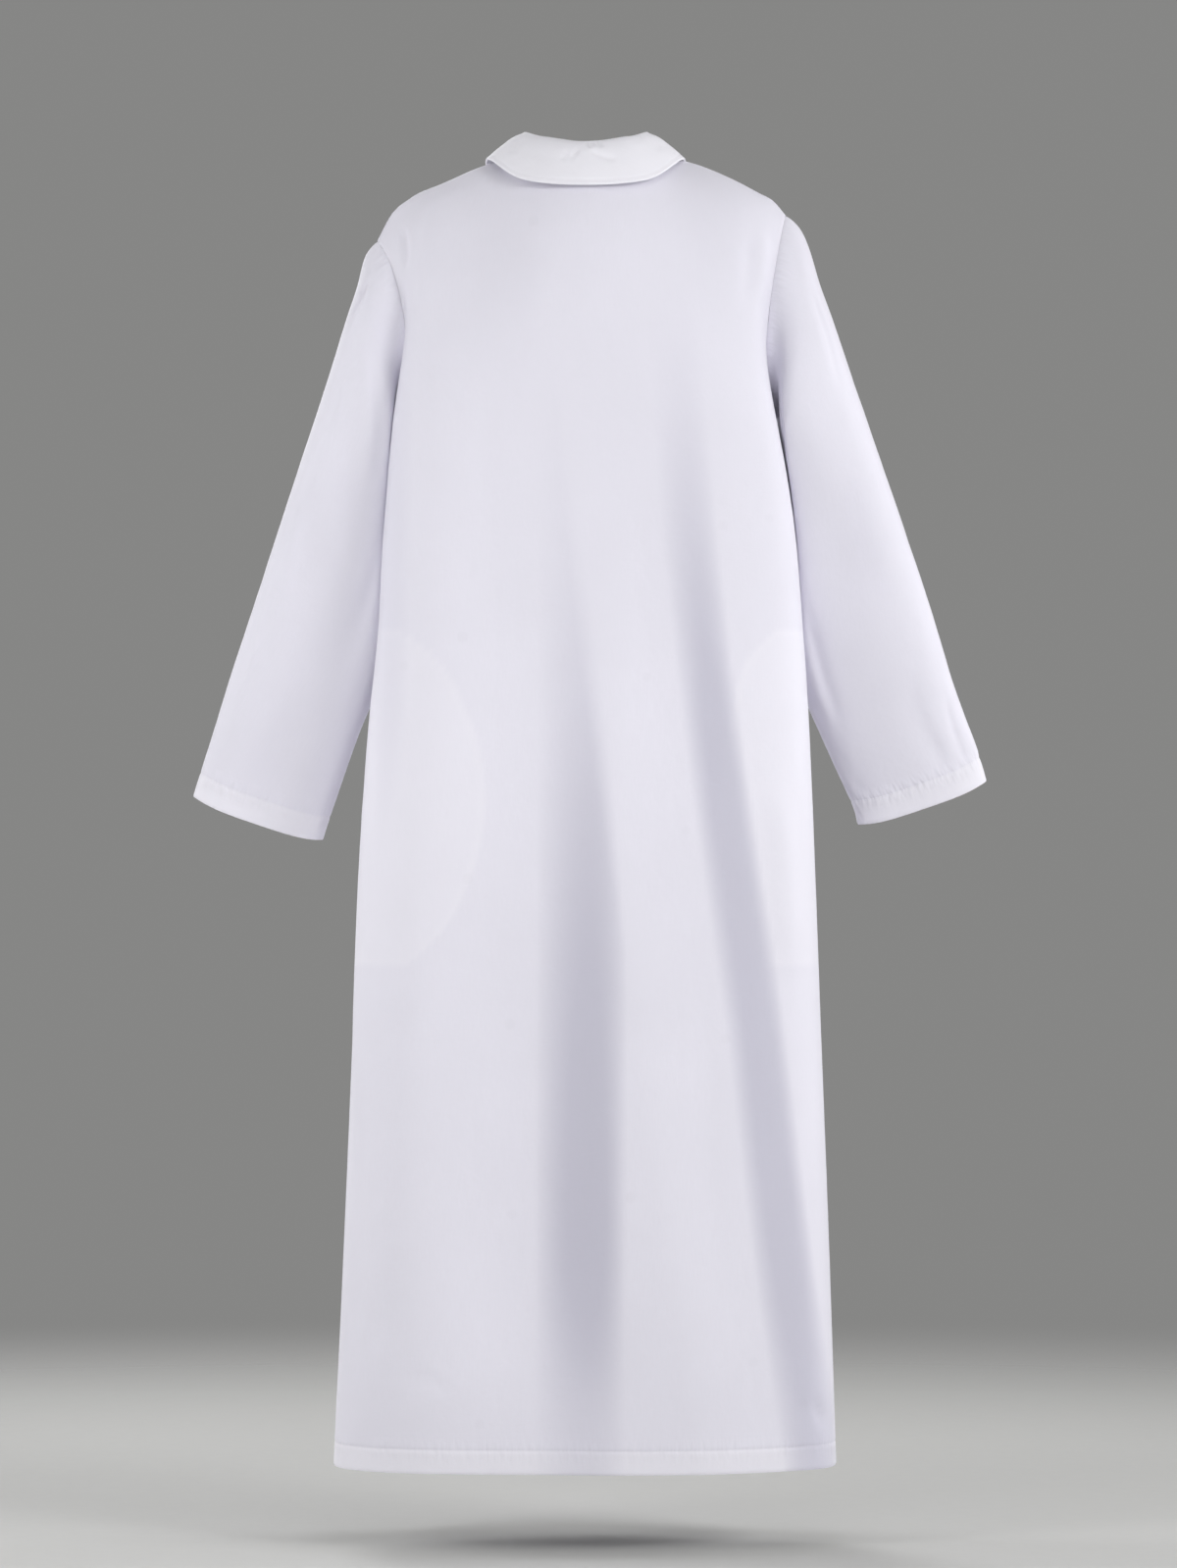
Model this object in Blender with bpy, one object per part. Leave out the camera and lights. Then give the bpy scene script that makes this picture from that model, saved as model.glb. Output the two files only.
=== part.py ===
"""A man's long white robe (thobe), open and hollow as it hangs when it is worn.

Frame: metres, +Z up. The front faces -Y, the back faces +Y and the wearer's left is +X.
The origin is in the middle of the neck opening, level with the tops of the shoulders.
Each cloth piece is a grid of points worked out from the tables below, thickened inwards.
"""

import math
from collections import namedtuple

import bpy
import numpy as np

# Cloth
WALL = 0.0012
DOUBLE_WALL = 0.0024
COLLAR_WALL = 0.0020
SEAM_GAP = 0.0003

# Heights on the body
HEM = -1.362
HEM_BAND = 0.0245
UNDERARM = -0.265
SLIT_LOW = -0.400
SLIT_EDGE = 0.004

# Grid of one panel: columns in each half, those of them on the neckline, and rows
HALF_COLUMNS = 12
NECK_COLUMNS = 4
SKIRT_ROWS = 14
YOKE_ROWS = 9

# The body's level sections from the hem up to the underarm. left and right are half widths,
# back and front are depths, and side_y is where the section is widest.
Section = namedtuple("Section", "height left right back front side_y")
SECTIONS = (
    Section(-1.362, 0.2645, 0.2630, 0.150, 0.165, 0.000),
    Section(-1.165, 0.2555, 0.2565, 0.146, 0.163, 0.000),
    Section(-0.918, 0.2450, 0.2470, 0.141, 0.161, 0.000),
    Section(-0.753, 0.2385, 0.2410, 0.137, 0.160, 0.004),
    Section(-0.576, 0.2260, 0.2335, 0.131, 0.158, 0.012),
    Section(-0.485, 0.2165, 0.2275, 0.127, 0.156, 0.022),
    Section(-0.403, 0.2120, 0.2215, 0.124, 0.153, 0.032),
    Section(-0.341, 0.2060, 0.2140, 0.122, 0.150, 0.040),
    Section(-0.265, 0.1985, 0.1990, 0.120, 0.147, 0.046),
)
BACK_SQUARENESS = 2.7
FRONT_SQUARENESS = 1.95

# The top edge of each shoulder from the neck (along 0) to the armhole (along 1)
ShoulderPoint = namedtuple("ShoulderPoint", "along left_x left_z right_x right_z")
SHOULDER = (
    ShoulderPoint(0.00, 0.080, 0.008, 0.080, 0.010),
    ShoulderPoint(0.25, 0.113, -0.002, 0.115, 0.002),
    ShoulderPoint(0.50, 0.149, -0.018, 0.150, -0.012),
    ShoulderPoint(0.75, 0.184, -0.034, 0.181, -0.028),
    ShoulderPoint(0.88, 0.203, -0.050, 0.197, -0.037),
    ShoulderPoint(1.00, 0.219, -0.079, 0.210, -0.052),
)
SHOULDER_Y = 0.006

# The neckline's centre points, y and height
BACK_NECK = (0.068, -0.012)
FRONT_NECK = (-0.080, -0.072)

# How a column of the yoke leaves the underarm row (rise) and reaches the top edge (fall).
# across is 0 at the centre line and 1 at the armhole, and x grows away from the centre.
Reach = namedtuple("Reach", "across rise_x rise_y rise_z fall_x fall_y fall_z")
YOKE = {
    "back": (
        Reach(0.00, 0.000, 0.006, 0.105, 0.000, 0.044, -0.048),
        Reach(0.33, 0.000, 0.004, 0.105, 0.006, 0.055, -0.030),
        Reach(0.60, -0.006, 0.006, 0.100, 0.006, 0.067, -0.016),
        Reach(0.85, -0.012, 0.025, 0.075, -0.006, 0.066, -0.018),
    ),
    "front": (
        Reach(0.00, 0.000, -0.002, 0.070, 0.000, -0.030, -0.050),
        Reach(0.33, 0.000, -0.002, 0.095, 0.010, -0.050, -0.030),
        Reach(0.60, -0.006, -0.004, 0.095, 0.006, -0.060, -0.025),
        Reach(0.85, -0.014, -0.020, 0.070, -0.010, -0.058, -0.030),
    ),
}
ARMHOLE = {
    ("back", "left"): Reach(1.0, -0.016, 0.055, 0.050, -0.027, 0.056, -0.031),
    ("back", "right"): Reach(1.0, -0.016, 0.055, 0.050, -0.008, 0.056, -0.031),
    ("front", "left"): Reach(1.0, -0.022, -0.045, 0.030, -0.037, -0.060, -0.041),
    ("front", "right"): Reach(1.0, -0.022, -0.045, 0.030, -0.030, -0.060, -0.045),
}

# The largest folds of the body. x is the fold's line at its top, middle and low end.
# A negative depth is a trough and a positive one a ridge.
Fold = namedtuple("Fold", "panel top low x_top x_middle x_low width_top width_low depth")
FOLDS = (
    Fold("back", -0.30, -1.40, 0.010, 0.012, 0.012, 0.020, 0.034, -0.012),
    Fold("back", -0.12, -1.40, -0.112, -0.160, -0.245, 0.018, 0.030, -0.011),
    Fold("back", -0.13, -0.62, 0.165, 0.162, 0.165, 0.022, 0.026, 0.004),
    Fold("front", -0.34, -1.40, 0.070, 0.085, 0.105, 0.022, 0.036, -0.011),
    Fold("front", -0.42, -1.40, -0.055, -0.065, -0.075, 0.022, 0.038, -0.012),
    Fold("front", -0.60, -1.40, 0.010, 0.008, 0.004, 0.020, 0.034, 0.008),
)
FOLD_EASE = 0.30
FOLD_LEFT_AT_LOW = 0.8
SEAM_EASE = 0.14

# Each sleeve's sections from the cap to the cuff's edge. outer and inner are the ends of the
# section seen from the front, mid_y its middle, half_depth its reach to front and back, and
# dip how much lower than its middle it is at the back.
Ring = namedtuple("Ring", "station outer_x outer_z inner_x inner_z mid_y half_depth dip")
SLEEVES = {
    "left": (
        Ring(1.0, 0.2440, -0.138, 0.1945, -0.284, -0.010, 0.064, 0.000),
        Ring(2.0, 0.2710, -0.220, 0.1930, -0.318, -0.020, 0.067, 0.002),
        Ring(3.0, 0.3110, -0.341, 0.1950, -0.388, -0.036, 0.062, 0.004),
        Ring(4.0, 0.3510, -0.4645, 0.2070, -0.513, -0.054, 0.051, 0.006),
        Ring(5.0, 0.3790, -0.547, 0.2390, -0.594, -0.067, 0.039, 0.007),
        Ring(6.0, 0.4085, -0.637, 0.2705, -0.6835, -0.080, 0.026, 0.007),
        Ring(7.0, 0.4165, -0.662, 0.2785, -0.7086, -0.083, 0.024, 0.007),
    ),
    "right": (
        Ring(1.0, 0.2510, -0.138, 0.1945, -0.284, -0.010, 0.064, 0.000),
        Ring(2.0, 0.2800, -0.220, 0.1950, -0.318, -0.020, 0.067, 0.002),
        Ring(3.0, 0.3225, -0.341, 0.2020, -0.388, -0.036, 0.062, 0.004),
        Ring(4.0, 0.3640, -0.4645, 0.2150, -0.513, -0.054, 0.051, 0.006),
        Ring(5.0, 0.3895, -0.547, 0.2480, -0.596, -0.067, 0.039, 0.007),
        Ring(6.0, 0.4170, -0.621, 0.2810, -0.667, -0.080, 0.026, 0.007),
        Ring(7.0, 0.4250, -0.646, 0.2885, -0.692, -0.083, 0.024, 0.007),
    ),
}
# How the cap leaves the armhole seam, beyond the straight way to its first section
CAP_FLARE = {"left": (0.038, 0.0, 0.006), "right": (0.050, 0.0, 0.036)}
SLEEVE_AROUND = 20
SLEEVE_STATIONS = (0, 0.35, 0.7, 1, 1.5, 2, 2.5, 3, 3.5, 4, 4.5, 5, 5.5, 5.94, 6, 7)
CUFF_BAND_STATION = 6
CAP_GAP = 0.0018
SLEEVE_CLEARANCE = 0.005

# The collar by angle round the neck, 0 at the centre back and 180 at the centre front:
# roll is its top edge and leaf the free edge of its turned-down part. The row at -45 mirrors
# the one at 45, so that both edges run level across the centre back.
CollarPoint = namedtuple("CollarPoint", "angle roll_x roll_y roll_z leaf_x leaf_y leaf_z")
COLLAR = (
    CollarPoint(-45, -0.046, 0.047, 0.0272, -0.066, 0.076, -0.019),
    CollarPoint(0, 0.000, 0.062, 0.0213, 0.000, 0.094, -0.026),
    CollarPoint(45, 0.046, 0.047, 0.0272, 0.066, 0.076, -0.019),
    CollarPoint(90, 0.068, 0.004, 0.0335, 0.105, 0.006, 0.007),
    CollarPoint(135, 0.050, -0.044, 0.0030, 0.090, -0.078, -0.030),
    CollarPoint(180, 0.000, -0.072, -0.0370, 0.054, -0.124, -0.092),
)
COLLAR_STEP = 9
STAND_OVERLAP = 9
STAND_LIFT = 0.0030
STAND_DROP = 0.0040
LAP_STARTS = 135
LAP_EASE = 27
LEAF_END = 176
LEAF_COLUMNS = 40
# The leaf's lines from the roll (share 0) to its free edge (share 1), and how far each bulges
LeafLine = namedtuple("LeafLine", "share bulge")
LEAF_LINES = (
    LeafLine(0.00, 0.000),
    LeafLine(0.12, 0.002),
    LeafLine(0.50, 0.003),
    LeafLine(1.00, 0.000),
)

# The placket over the neck slit, and its buttons
PLACKET_WIDTH = 0.034
PLACKET_LOW = -0.425
PLACKET_TOP = -0.079
PLACKET_GAP = 0.0007
BUTTON_RADIUS = 0.0055
BUTTON_THICKNESS = 0.0022
BUTTON_SIDES = 16
BUTTON_HEIGHTS = (-0.135, -0.210, -0.285, -0.360)

# The side pockets' bags: how near the centre line each reaches at each height
BagPoint = namedtuple("BagPoint", "height left right")
BAG = (
    BagPoint(-0.836, 0.185, 0.190),
    BagPoint(-0.800, 0.150, 0.160),
    BagPoint(-0.749, 0.1226, 0.143),
    BagPoint(-0.690, 0.107, 0.140),
    BagPoint(-0.647, 0.106, 0.142),
    BagPoint(-0.570, 0.1257, 0.152),
    BagPoint(-0.514, 0.160, 0.172),
    BagPoint(-0.487, 0.195, 0.200),
)
BAG_COLUMNS = 5
BAG_OFF_SEAM = 0.02
BAG_DEPTH_INSIDE = 0.0080

SIGN = {"left": 1, "right": -1}
SMALL_TURN = 0.01
SHARP = math.radians(45)


def smooth(table, key, name, at):
    """The column called name, read at a value of the column called key, on a smooth curve."""
    keys = np.array([getattr(row, key) for row in table])
    values = np.array([getattr(row, name) for row in table])
    slopes = np.gradient(values, keys)
    at = np.clip(at, keys[0], keys[-1])
    low = np.clip(np.searchsorted(keys, at) - 1, 0, len(keys) - 2)
    span = keys[low + 1] - keys[low]
    t = (at - keys[low]) / span
    ends = values[low] * (1 + 2 * t) * (1 - t) ** 2 + values[low + 1] * (3 - 2 * t) * t**2
    return ends + span * t * (1 - t) * (slopes[low] * (1 - t) - slopes[low + 1] * t)


def bezier(start, leave, reach, end, t):
    """Points of a cubic curve, a row for each t."""
    t = np.asarray(t)[:, None]
    first = (1 - t) ** 3 * start + 3 * t * (1 - t) ** 2 * leave
    return first + 3 * t**2 * (1 - t) * reach + t**3 * end


def section_xy(side, height, angle):
    """A point of the level section: angle 0 is the centre back and pi the centre front."""
    half = smooth(SECTIONS, "height", side, height)
    side_y = smooth(SECTIONS, "height", "side_y", height)
    back = smooth(SECTIONS, "height", "back", height) - side_y
    front = smooth(SECTIONS, "height", "front", height) + side_y
    behind = np.cos(angle) >= 0
    power = 2 / np.where(behind, BACK_SQUARENESS, FRONT_SQUARENESS)
    x = half * np.abs(np.sin(angle)) ** power
    y = side_y + np.where(behind, back, -front) * np.abs(np.cos(angle)) ** power
    return x, y


def seam_angle(height):
    """The angle at which the side seam crosses the section, in the plane y = 0."""
    side_y = smooth(SECTIONS, "height", "side_y", height)
    front = smooth(SECTIONS, "height", "front", height) + side_y
    return math.pi / 2 + np.arcsin((np.maximum(side_y, 0) / front) ** (FRONT_SQUARENESS / 2))


def skirt_column(panel, side, across, heights):
    """A column of points below the underarm. across is 0 at the centre and 1 at the seam."""
    half_gap = SEAM_GAP / 2 / smooth(SECTIONS, "height", side, UNDERARM)
    seam = seam_angle(heights)
    if panel == "back":
        angle = across * (seam - half_gap)
    else:
        angle = math.pi - across * (math.pi - seam - half_gap)
    x, y = section_xy(side, heights, angle)
    return np.stack([SIGN[side] * x, y, heights], axis=1)


def neckline(panel, side, turn):
    """A point of the neckline. turn is 0 at the centre line and 1 at the shoulder."""
    centre_y, centre_z = BACK_NECK if panel == "back" else FRONT_NECK
    half_width = smooth(SHOULDER, "along", side + "_x", 0.0)
    shoulder_z = smooth(SHOULDER, "along", side + "_z", 0.0)
    towards_centre = math.cos(turn * math.pi / 2)
    return np.array(
        [
            SIGN[side] * half_width * math.sin(turn * math.pi / 2),
            SHOULDER_Y + (centre_y - SHOULDER_Y) * towards_centre,
            shoulder_z + (centre_z - shoulder_z) * towards_centre,
        ]
    )


def top_edge(panel, side, across):
    """The point where a column ends, on the neckline or on the shoulder seam."""
    neck_share = NECK_COLUMNS / HALF_COLUMNS
    if across < neck_share:
        point = neckline(panel, side, across / neck_share)
    else:
        along = (across - neck_share) / (1 - neck_share)
        x = smooth(SHOULDER, "along", side + "_x", along)
        z = smooth(SHOULDER, "along", side + "_z", along)
        point = np.array([SIGN[side] * x, SHOULDER_Y, z])
    point[1] += SEAM_GAP / 2 if panel == "back" else -SEAM_GAP / 2
    return point


def yoke_column(panel, side, across, steps):
    """A column of points from the underarm row up to the neck, shoulder or armhole."""
    table = YOKE[panel] + (ARMHOLE[panel, side],)
    start = skirt_column(panel, side, across, np.array([UNDERARM]))[0]
    end = top_edge(panel, side, across)
    mirror = np.array([SIGN[side], 1, 1])
    rise = np.array([smooth(table, "across", "rise_" + axis, across) for axis in "xyz"])
    fall = np.array([smooth(table, "across", "fall_" + axis, across) for axis in "xyz"])
    return bezier(start, start + rise * mirror, end + fall * mirror, end, steps)


def normals_of(grid):
    """Unit normals of a grid of points, rows by columns, by the right hand."""
    normal = np.cross(np.gradient(grid, axis=1), np.gradient(grid, axis=0))
    return normal / np.linalg.norm(normal, axis=2, keepdims=True)


def ease(t):
    t = np.clip(t, 0, 1)
    return t * t * (3 - 2 * t)


def fold_height(panel, x, z):
    """How far the panel's folds stand out of its plain surface, or in where negative."""
    total = np.zeros_like(x)
    for fold in FOLDS:
        if fold.panel != panel:
            continue
        down = (fold.top - z) / (fold.top - fold.low)
        bow = 4 * (fold.x_middle - (fold.x_top + fold.x_low) / 2)
        line = fold.x_top + (fold.x_low - fold.x_top) * down + bow * down * (1 - down)
        width = fold.width_top + (fold.width_low - fold.width_top) * down
        fading = ease((z - fold.low) / FOLD_EASE + FOLD_LEFT_AT_LOW)
        strength = ease((fold.top - z) / FOLD_EASE) * fading
        total += fold.depth * strength * np.exp(-(((x - line) / width) ** 2))
    return total


def seam_fade(across):
    """The share of a fold that is left near a side seam, where the cloth is held flat."""
    return ease((1 - np.abs(across)) / SEAM_EASE)


def panel_grid(panel, columns):
    """The panel's outer surface and its outward normals, from the hem's row up.

    columns run from -1, the right seam, to 1, the left one. Side and shoulder seams lie in
    level planes of y, and there the normals do too, so that both walls meet in that plane.
    """
    band_top = HEM + HEM_BAND
    skirt = np.linspace(band_top, UNDERARM, SKIRT_ROWS + 1)
    heights = np.concatenate([[HEM, band_top - WALL], skirt])
    steps = np.linspace(0, 1, YOKE_ROWS + 1)[1:]
    grid = []
    for place in columns:
        side = "left" if place >= 0 else "right"
        lower = skirt_column(panel, side, abs(place), heights)
        upper = yoke_column(panel, side, abs(place), steps)
        grid.append(np.concatenate([lower, upper]))
    grid = np.array(grid).transpose(1, 0, 2)
    facing = -1 if panel == "back" else 1
    stand_out = facing * fold_height(panel, grid[..., 0], grid[..., 2]) * seam_fade(columns)
    grid = grid + normals_of(grid) * stand_out[..., None]
    out = facing * normals_of(grid)
    on_seam = np.zeros(grid.shape[:2], bool)
    on_seam[: len(heights)] = np.abs(columns) == 1
    on_seam[-1] = np.abs(columns) > (NECK_COLUMNS - 0.5) / HALF_COLUMNS
    out[on_seam, 1] = 0
    return grid, out / np.linalg.norm(out, axis=2, keepdims=True)


def panel_wall(out):
    """How far each point of a panel's wall goes inwards: twice as far in the hem."""
    thickness = np.full(out.shape[:2], WALL)
    thickness[:2] = DOUBLE_WALL
    return -out * thickness[..., None]


def cloth_object(name, outer, faces, inwards_by, material):
    """A closed wall between a sheet and its copy moved inwards, with its edges closed."""
    outer = outer.reshape(-1, 3)
    inner = outer + inwards_by.reshape(-1, 3)
    used = np.unique(np.concatenate([np.array(face) for face in faces]))
    renumber = {int(old): new for new, old in enumerate(used)}
    faces = [[renumber[corner] for corner in face] for face in faces]
    points = np.concatenate([outer[used], inner[used]])
    count = len(used)
    walls = [[corner + count for corner in face[::-1]] for face in faces]
    sides = {(a, b) for face in faces for a, b in zip(face, face[1:] + face[:1])}
    walls += [[b, a, a + count, b + count] for a, b in sides if (b, a) not in sides]
    mesh = bpy.data.meshes.new(name)
    mesh.from_pydata([tuple(point) for point in points], [], faces + sorted(walls))
    mesh.update()
    mesh.shade_smooth()
    mesh.set_sharp_from_angle(angle=SHARP)
    mesh.materials.append(material)
    obj = bpy.data.objects.new(name, mesh)
    bpy.context.scene.collection.objects.link(obj)
    return obj


def grid_faces(numbers, flip=False, closed=False):
    """Quads between neighbouring point numbers, skipping any that have no area."""
    rows, columns = numbers.shape
    faces = []
    for row in range(rows - 1):
        for column in range(columns if closed else columns - 1):
            after = (column + 1) % columns
            corners = [
                numbers[row, column],
                numbers[row, after],
                numbers[row + 1, after],
                numbers[row + 1, column],
            ]
            corners = list(dict.fromkeys(int(corner) for corner in corners))
            if len(corners) > 2:
                faces.append(corners[::-1] if flip else corners)
    return faces


def make_back(material):
    columns = np.linspace(-1, 1, 2 * HALF_COLUMNS + 1)
    grid, out = panel_grid("back", columns)
    numbers = np.arange(grid.shape[0] * grid.shape[1]).reshape(grid.shape[:2])
    faces = grid_faces(numbers, flip=True)
    return cloth_object("back_panel", grid, faces, panel_wall(out), material)


def make_front(material):
    """The front is cut open down its centre line from the neck to the slit's low end."""
    grid, out = panel_grid("front", front_columns())
    numbers = np.arange(grid.shape[0] * grid.shape[1]).reshape(grid.shape[:2])
    right, left = HALF_COLUMNS, HALF_COLUMNS + 1
    joined = grid[:, left, 2] < SLIT_LOW
    grid[joined, left] = (grid[joined, left] + grid[joined, right]) / 2
    numbers[joined, right] = numbers[joined, left]
    faces = grid_faces(numbers[:, left:]) + grid_faces(numbers[:, : right + 1])
    return cloth_object("front_panel", grid, faces, panel_wall(out), material)


def armhole_ring(side, turns):
    """The armhole seam, from the underarm up the back to the shoulder and down the front."""
    points = []
    for turn in turns:
        panel = "back" if turn <= math.pi else "front"
        up = turn / math.pi if panel == "back" else 2 - turn / math.pi
        points.append(yoke_column(panel, side, 1.0, [up])[0])
    return np.array(points)


def keep_off_body(side, points, clearance):
    """Moves a sleeve's points outwards to where they lie against the body's side."""
    level = np.clip(points[:, 2], HEM, UNDERARM)
    side_y = smooth(SECTIONS, "height", "side_y", level)
    half = smooth(SECTIONS, "height", side, level)
    front = smooth(SECTIONS, "height", "front", level) + side_y
    back = smooth(SECTIONS, "height", "back", level) - side_y
    behind = points[:, 1] >= side_y
    power = np.where(behind, BACK_SQUARENESS, FRONT_SQUARENESS)
    depth = np.where(behind, back, front)
    share = np.clip(np.abs(points[:, 1] - side_y) / depth, 0, 1)
    limit = half * (1 - share**power) ** (1 / power) + clearance
    below = points[:, 2] < UNDERARM
    moved = np.where(below, np.maximum(np.abs(points[:, 0]), limit), np.abs(points[:, 0]))
    return np.stack([SIGN[side] * moved, points[:, 1], points[:, 2]], axis=1)


def sleeve_grid(side, turns, stations):
    """The sleeve's outer surface: a ring of points for each station along it."""
    table = SLEEVES[side]
    known = [armhole_ring(side, turns)]
    for ring in table:
        outer = np.array([SIGN[side] * ring.outer_x, ring.mid_y, ring.outer_z])
        inner = np.array([SIGN[side] * ring.inner_x, ring.mid_y, ring.inner_z])
        middle, reach = (outer + inner) / 2, (outer - inner) / 2
        depth = np.array([0, ring.half_depth, -ring.dip])
        points = middle - np.cos(turns)[:, None] * reach + np.sin(turns)[:, None] * depth
        known.append(keep_off_body(side, points, SLEEVE_CLEARANCE))
    known = np.array(known)
    slopes = np.gradient(known, axis=0)
    slopes[0] += np.array(CAP_FLARE[side]) * np.array([SIGN[side], 1, 1])
    grid = []
    for station in stations:
        low = min(int(station), len(known) - 2)
        t = station - low
        ends = known[low] * (1 + 2 * t) * (1 - t) ** 2 + known[low + 1] * (3 - 2 * t) * t**2
        bend = t * (1 - t) * (slopes[low] * (1 - t) - slopes[low + 1] * t)
        clearance = SLEEVE_CLEARANCE * min(1, station)
        grid.append(keep_off_body(side, ends + bend, clearance))
    return np.array(grid)


def ring_normals(grid):
    """Unit normals of a grid whose rows are closed rings."""
    along_ring = np.roll(grid, -1, axis=1) - np.roll(grid, 1, axis=1)
    normal = np.cross(along_ring, np.gradient(grid, axis=0))
    return normal / np.linalg.norm(normal, axis=2, keepdims=True)


def make_sleeve(side, material):
    turns = np.arange(SLEEVE_AROUND) * 2 * math.pi / SLEEVE_AROUND
    grid = sleeve_grid(side, turns, SLEEVE_STATIONS)
    along = grid[1] - grid[0]
    grid[0] += CAP_GAP * along / np.linalg.norm(along, axis=1, keepdims=True)
    numbers = np.arange(grid.shape[0] * grid.shape[1]).reshape(grid.shape[:2])
    faces = grid_faces(numbers, flip=side == "right", closed=True)
    out = ring_normals(grid) * SIGN[side]
    in_band = np.array(SLEEVE_STATIONS) >= CUFF_BAND_STATION
    thickness = np.where(in_band, DOUBLE_WALL, WALL)[:, None, None]
    return cloth_object("sleeve_" + side, grid, faces, -out * thickness, material)


def collar_point(angle, line):
    """A point of the collar's roll or leaf line, by degrees round the neck from the back."""
    side = "left" if angle >= 0 else "right"
    turn = abs(angle)
    at = min(turn, 180)
    x, y, z = (smooth(COLLAR, "angle", line + "_" + axis, at) for axis in "xyz")
    if turn > 180:
        x = y * math.sin(math.radians(turn - 180))
    return np.array([SIGN[side] * x, y, z])


def neck_point(angle):
    """A point of the neck seam by the same angle."""
    side = "left" if angle >= 0 else "right"
    turn = abs(angle)
    if turn <= 90:
        return neckline("back", side, turn / 90)
    point = neckline("front", side, (180 - min(turn, 180)) / 90)
    if turn > 180:
        point[0] = SIGN[side] * FRONT_NECK[0] * math.sin(math.radians(turn - 180))
    return point


def inwards(point, distance):
    """The point moved level towards the neck's middle."""
    flat = np.array([point[0], point[1], 0])
    return point - distance * flat / np.linalg.norm(flat)


def stand_edges(angle):
    """The stand's outer points at its foot and its top. Its left end steps out to lap."""
    lap = DOUBLE_WALL + 2 * SEAM_GAP
    inset = lap * (1 - ease((angle - LAP_STARTS) / LAP_EASE))
    foot = neck_point(angle) + np.array([0, 0, STAND_LIFT])
    top = collar_point(angle, "roll") - np.array([0, 0, STAND_DROP])
    return inwards(foot, inset), inwards(top, inset + DOUBLE_WALL / 2)


def make_stand(material):
    """The band round the neck. Its left end laps over its right end at the front."""
    last = 180 + STAND_OVERLAP
    angles = np.linspace(-last, last, 2 * last // COLLAR_STEP + 1)
    grid = np.array([stand_edges(angle) for angle in angles]).transpose(1, 0, 2)
    numbers = np.arange(grid.shape[0] * grid.shape[1]).reshape(grid.shape[:2])
    faces = grid_faces(numbers, flip=True)
    out = -normals_of(grid)
    return cloth_object("collar_stand", grid, faces, -out * COLLAR_WALL, material)


def make_fall(material):
    """The turned-down leaf, open at the front between its two points."""
    angles = np.linspace(-LEAF_END, LEAF_END, LEAF_COLUMNS + 1)
    rows = []
    for line in LEAF_LINES:
        row = []
        for angle in angles:
            roll = collar_point(angle, "roll")
            leaf = collar_point(angle, "leaf")
            row.append(inwards(roll + line.share * (leaf - roll), -line.bulge))
        rows.append(row)
    grid = np.array(rows)
    numbers = np.arange(grid.shape[0] * grid.shape[1]).reshape(grid.shape[:2])
    out = normals_of(grid)
    return cloth_object("collar_fall", grid, grid_faces(numbers), -out * COLLAR_WALL, material)


def front_columns():
    """The front panel's columns. The two middle ones are the edges of the slit."""
    half = np.linspace(0, 1, HALF_COLUMNS + 1)
    half[0] = SLIT_EDGE
    return np.concatenate([-half[::-1], half])


def front_line(x):
    """The front panel's outer points and normals down the line at this x, a row for each."""
    grid, out = panel_grid("front", front_columns())
    across = [[np.interp(x, row[:, 0], row[:, axis]) for axis in range(3)] for row in grid]
    normals = [
        [np.interp(x, row[:, 0], normal[:, axis]) for axis in range(3)]
        for row, normal in zip(grid, out)
    ]
    return np.array(across), np.array(normals)


def at_height(line, z):
    """The point and the normal of a line down the front, at this height."""
    points, normals = line
    place = np.array([np.interp(z, points[:, 2], points[:, axis]) for axis in range(3)])
    out = np.array([np.interp(z, points[:, 2], normals[:, axis]) for axis in range(3)])
    return place, out / np.linalg.norm(out)


def make_placket(material):
    """A strip over the slit, made from the front panel's points moved out."""
    middle = front_line(0.0)
    heights = [z for z in middle[0][:, 2] if PLACKET_LOW < z < PLACKET_TOP]
    heights = [PLACKET_LOW, *heights, PLACKET_TOP]
    low, high = [], []
    for x in np.linspace(-0.5, 0.5, 3) * PLACKET_WIDTH:
        places = [at_height(front_line(x), z) for z in heights]
        low.append([place + out * PLACKET_GAP for place, out in places])
        high.append([place + out * (PLACKET_GAP + WALL) for place, out in places])
    grid = np.array(high).transpose(1, 0, 2)
    inner = np.array(low).transpose(1, 0, 2)
    numbers = np.arange(grid.shape[0] * grid.shape[1]).reshape(grid.shape[:2])
    return cloth_object("placket", grid, grid_faces(numbers), inner - grid, material)


def make_button(name, place, out, material):
    """A round button that lies on the cloth at place and faces out."""
    bpy.ops.mesh.primitive_cylinder_add(
        vertices=BUTTON_SIDES, radius=BUTTON_RADIUS, depth=BUTTON_THICKNESS
    )
    obj = bpy.context.object
    obj.name = name
    obj.data.name = name
    obj.location = place + out * (BUTTON_THICKNESS / 2 + 2 * SEAM_GAP)
    obj.rotation_mode = "QUATERNION"
    tilt = np.cross([0, 0, 1], out)
    turn = math.acos(out[2])
    axis = tilt / np.linalg.norm(tilt)
    obj.rotation_quaternion = (math.cos(turn / 2), *(axis * math.sin(turn / 2)))
    obj.data.materials.append(material)
    obj.data.shade_smooth()
    obj.data.set_sharp_from_angle(angle=SHARP)
    return obj


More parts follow.
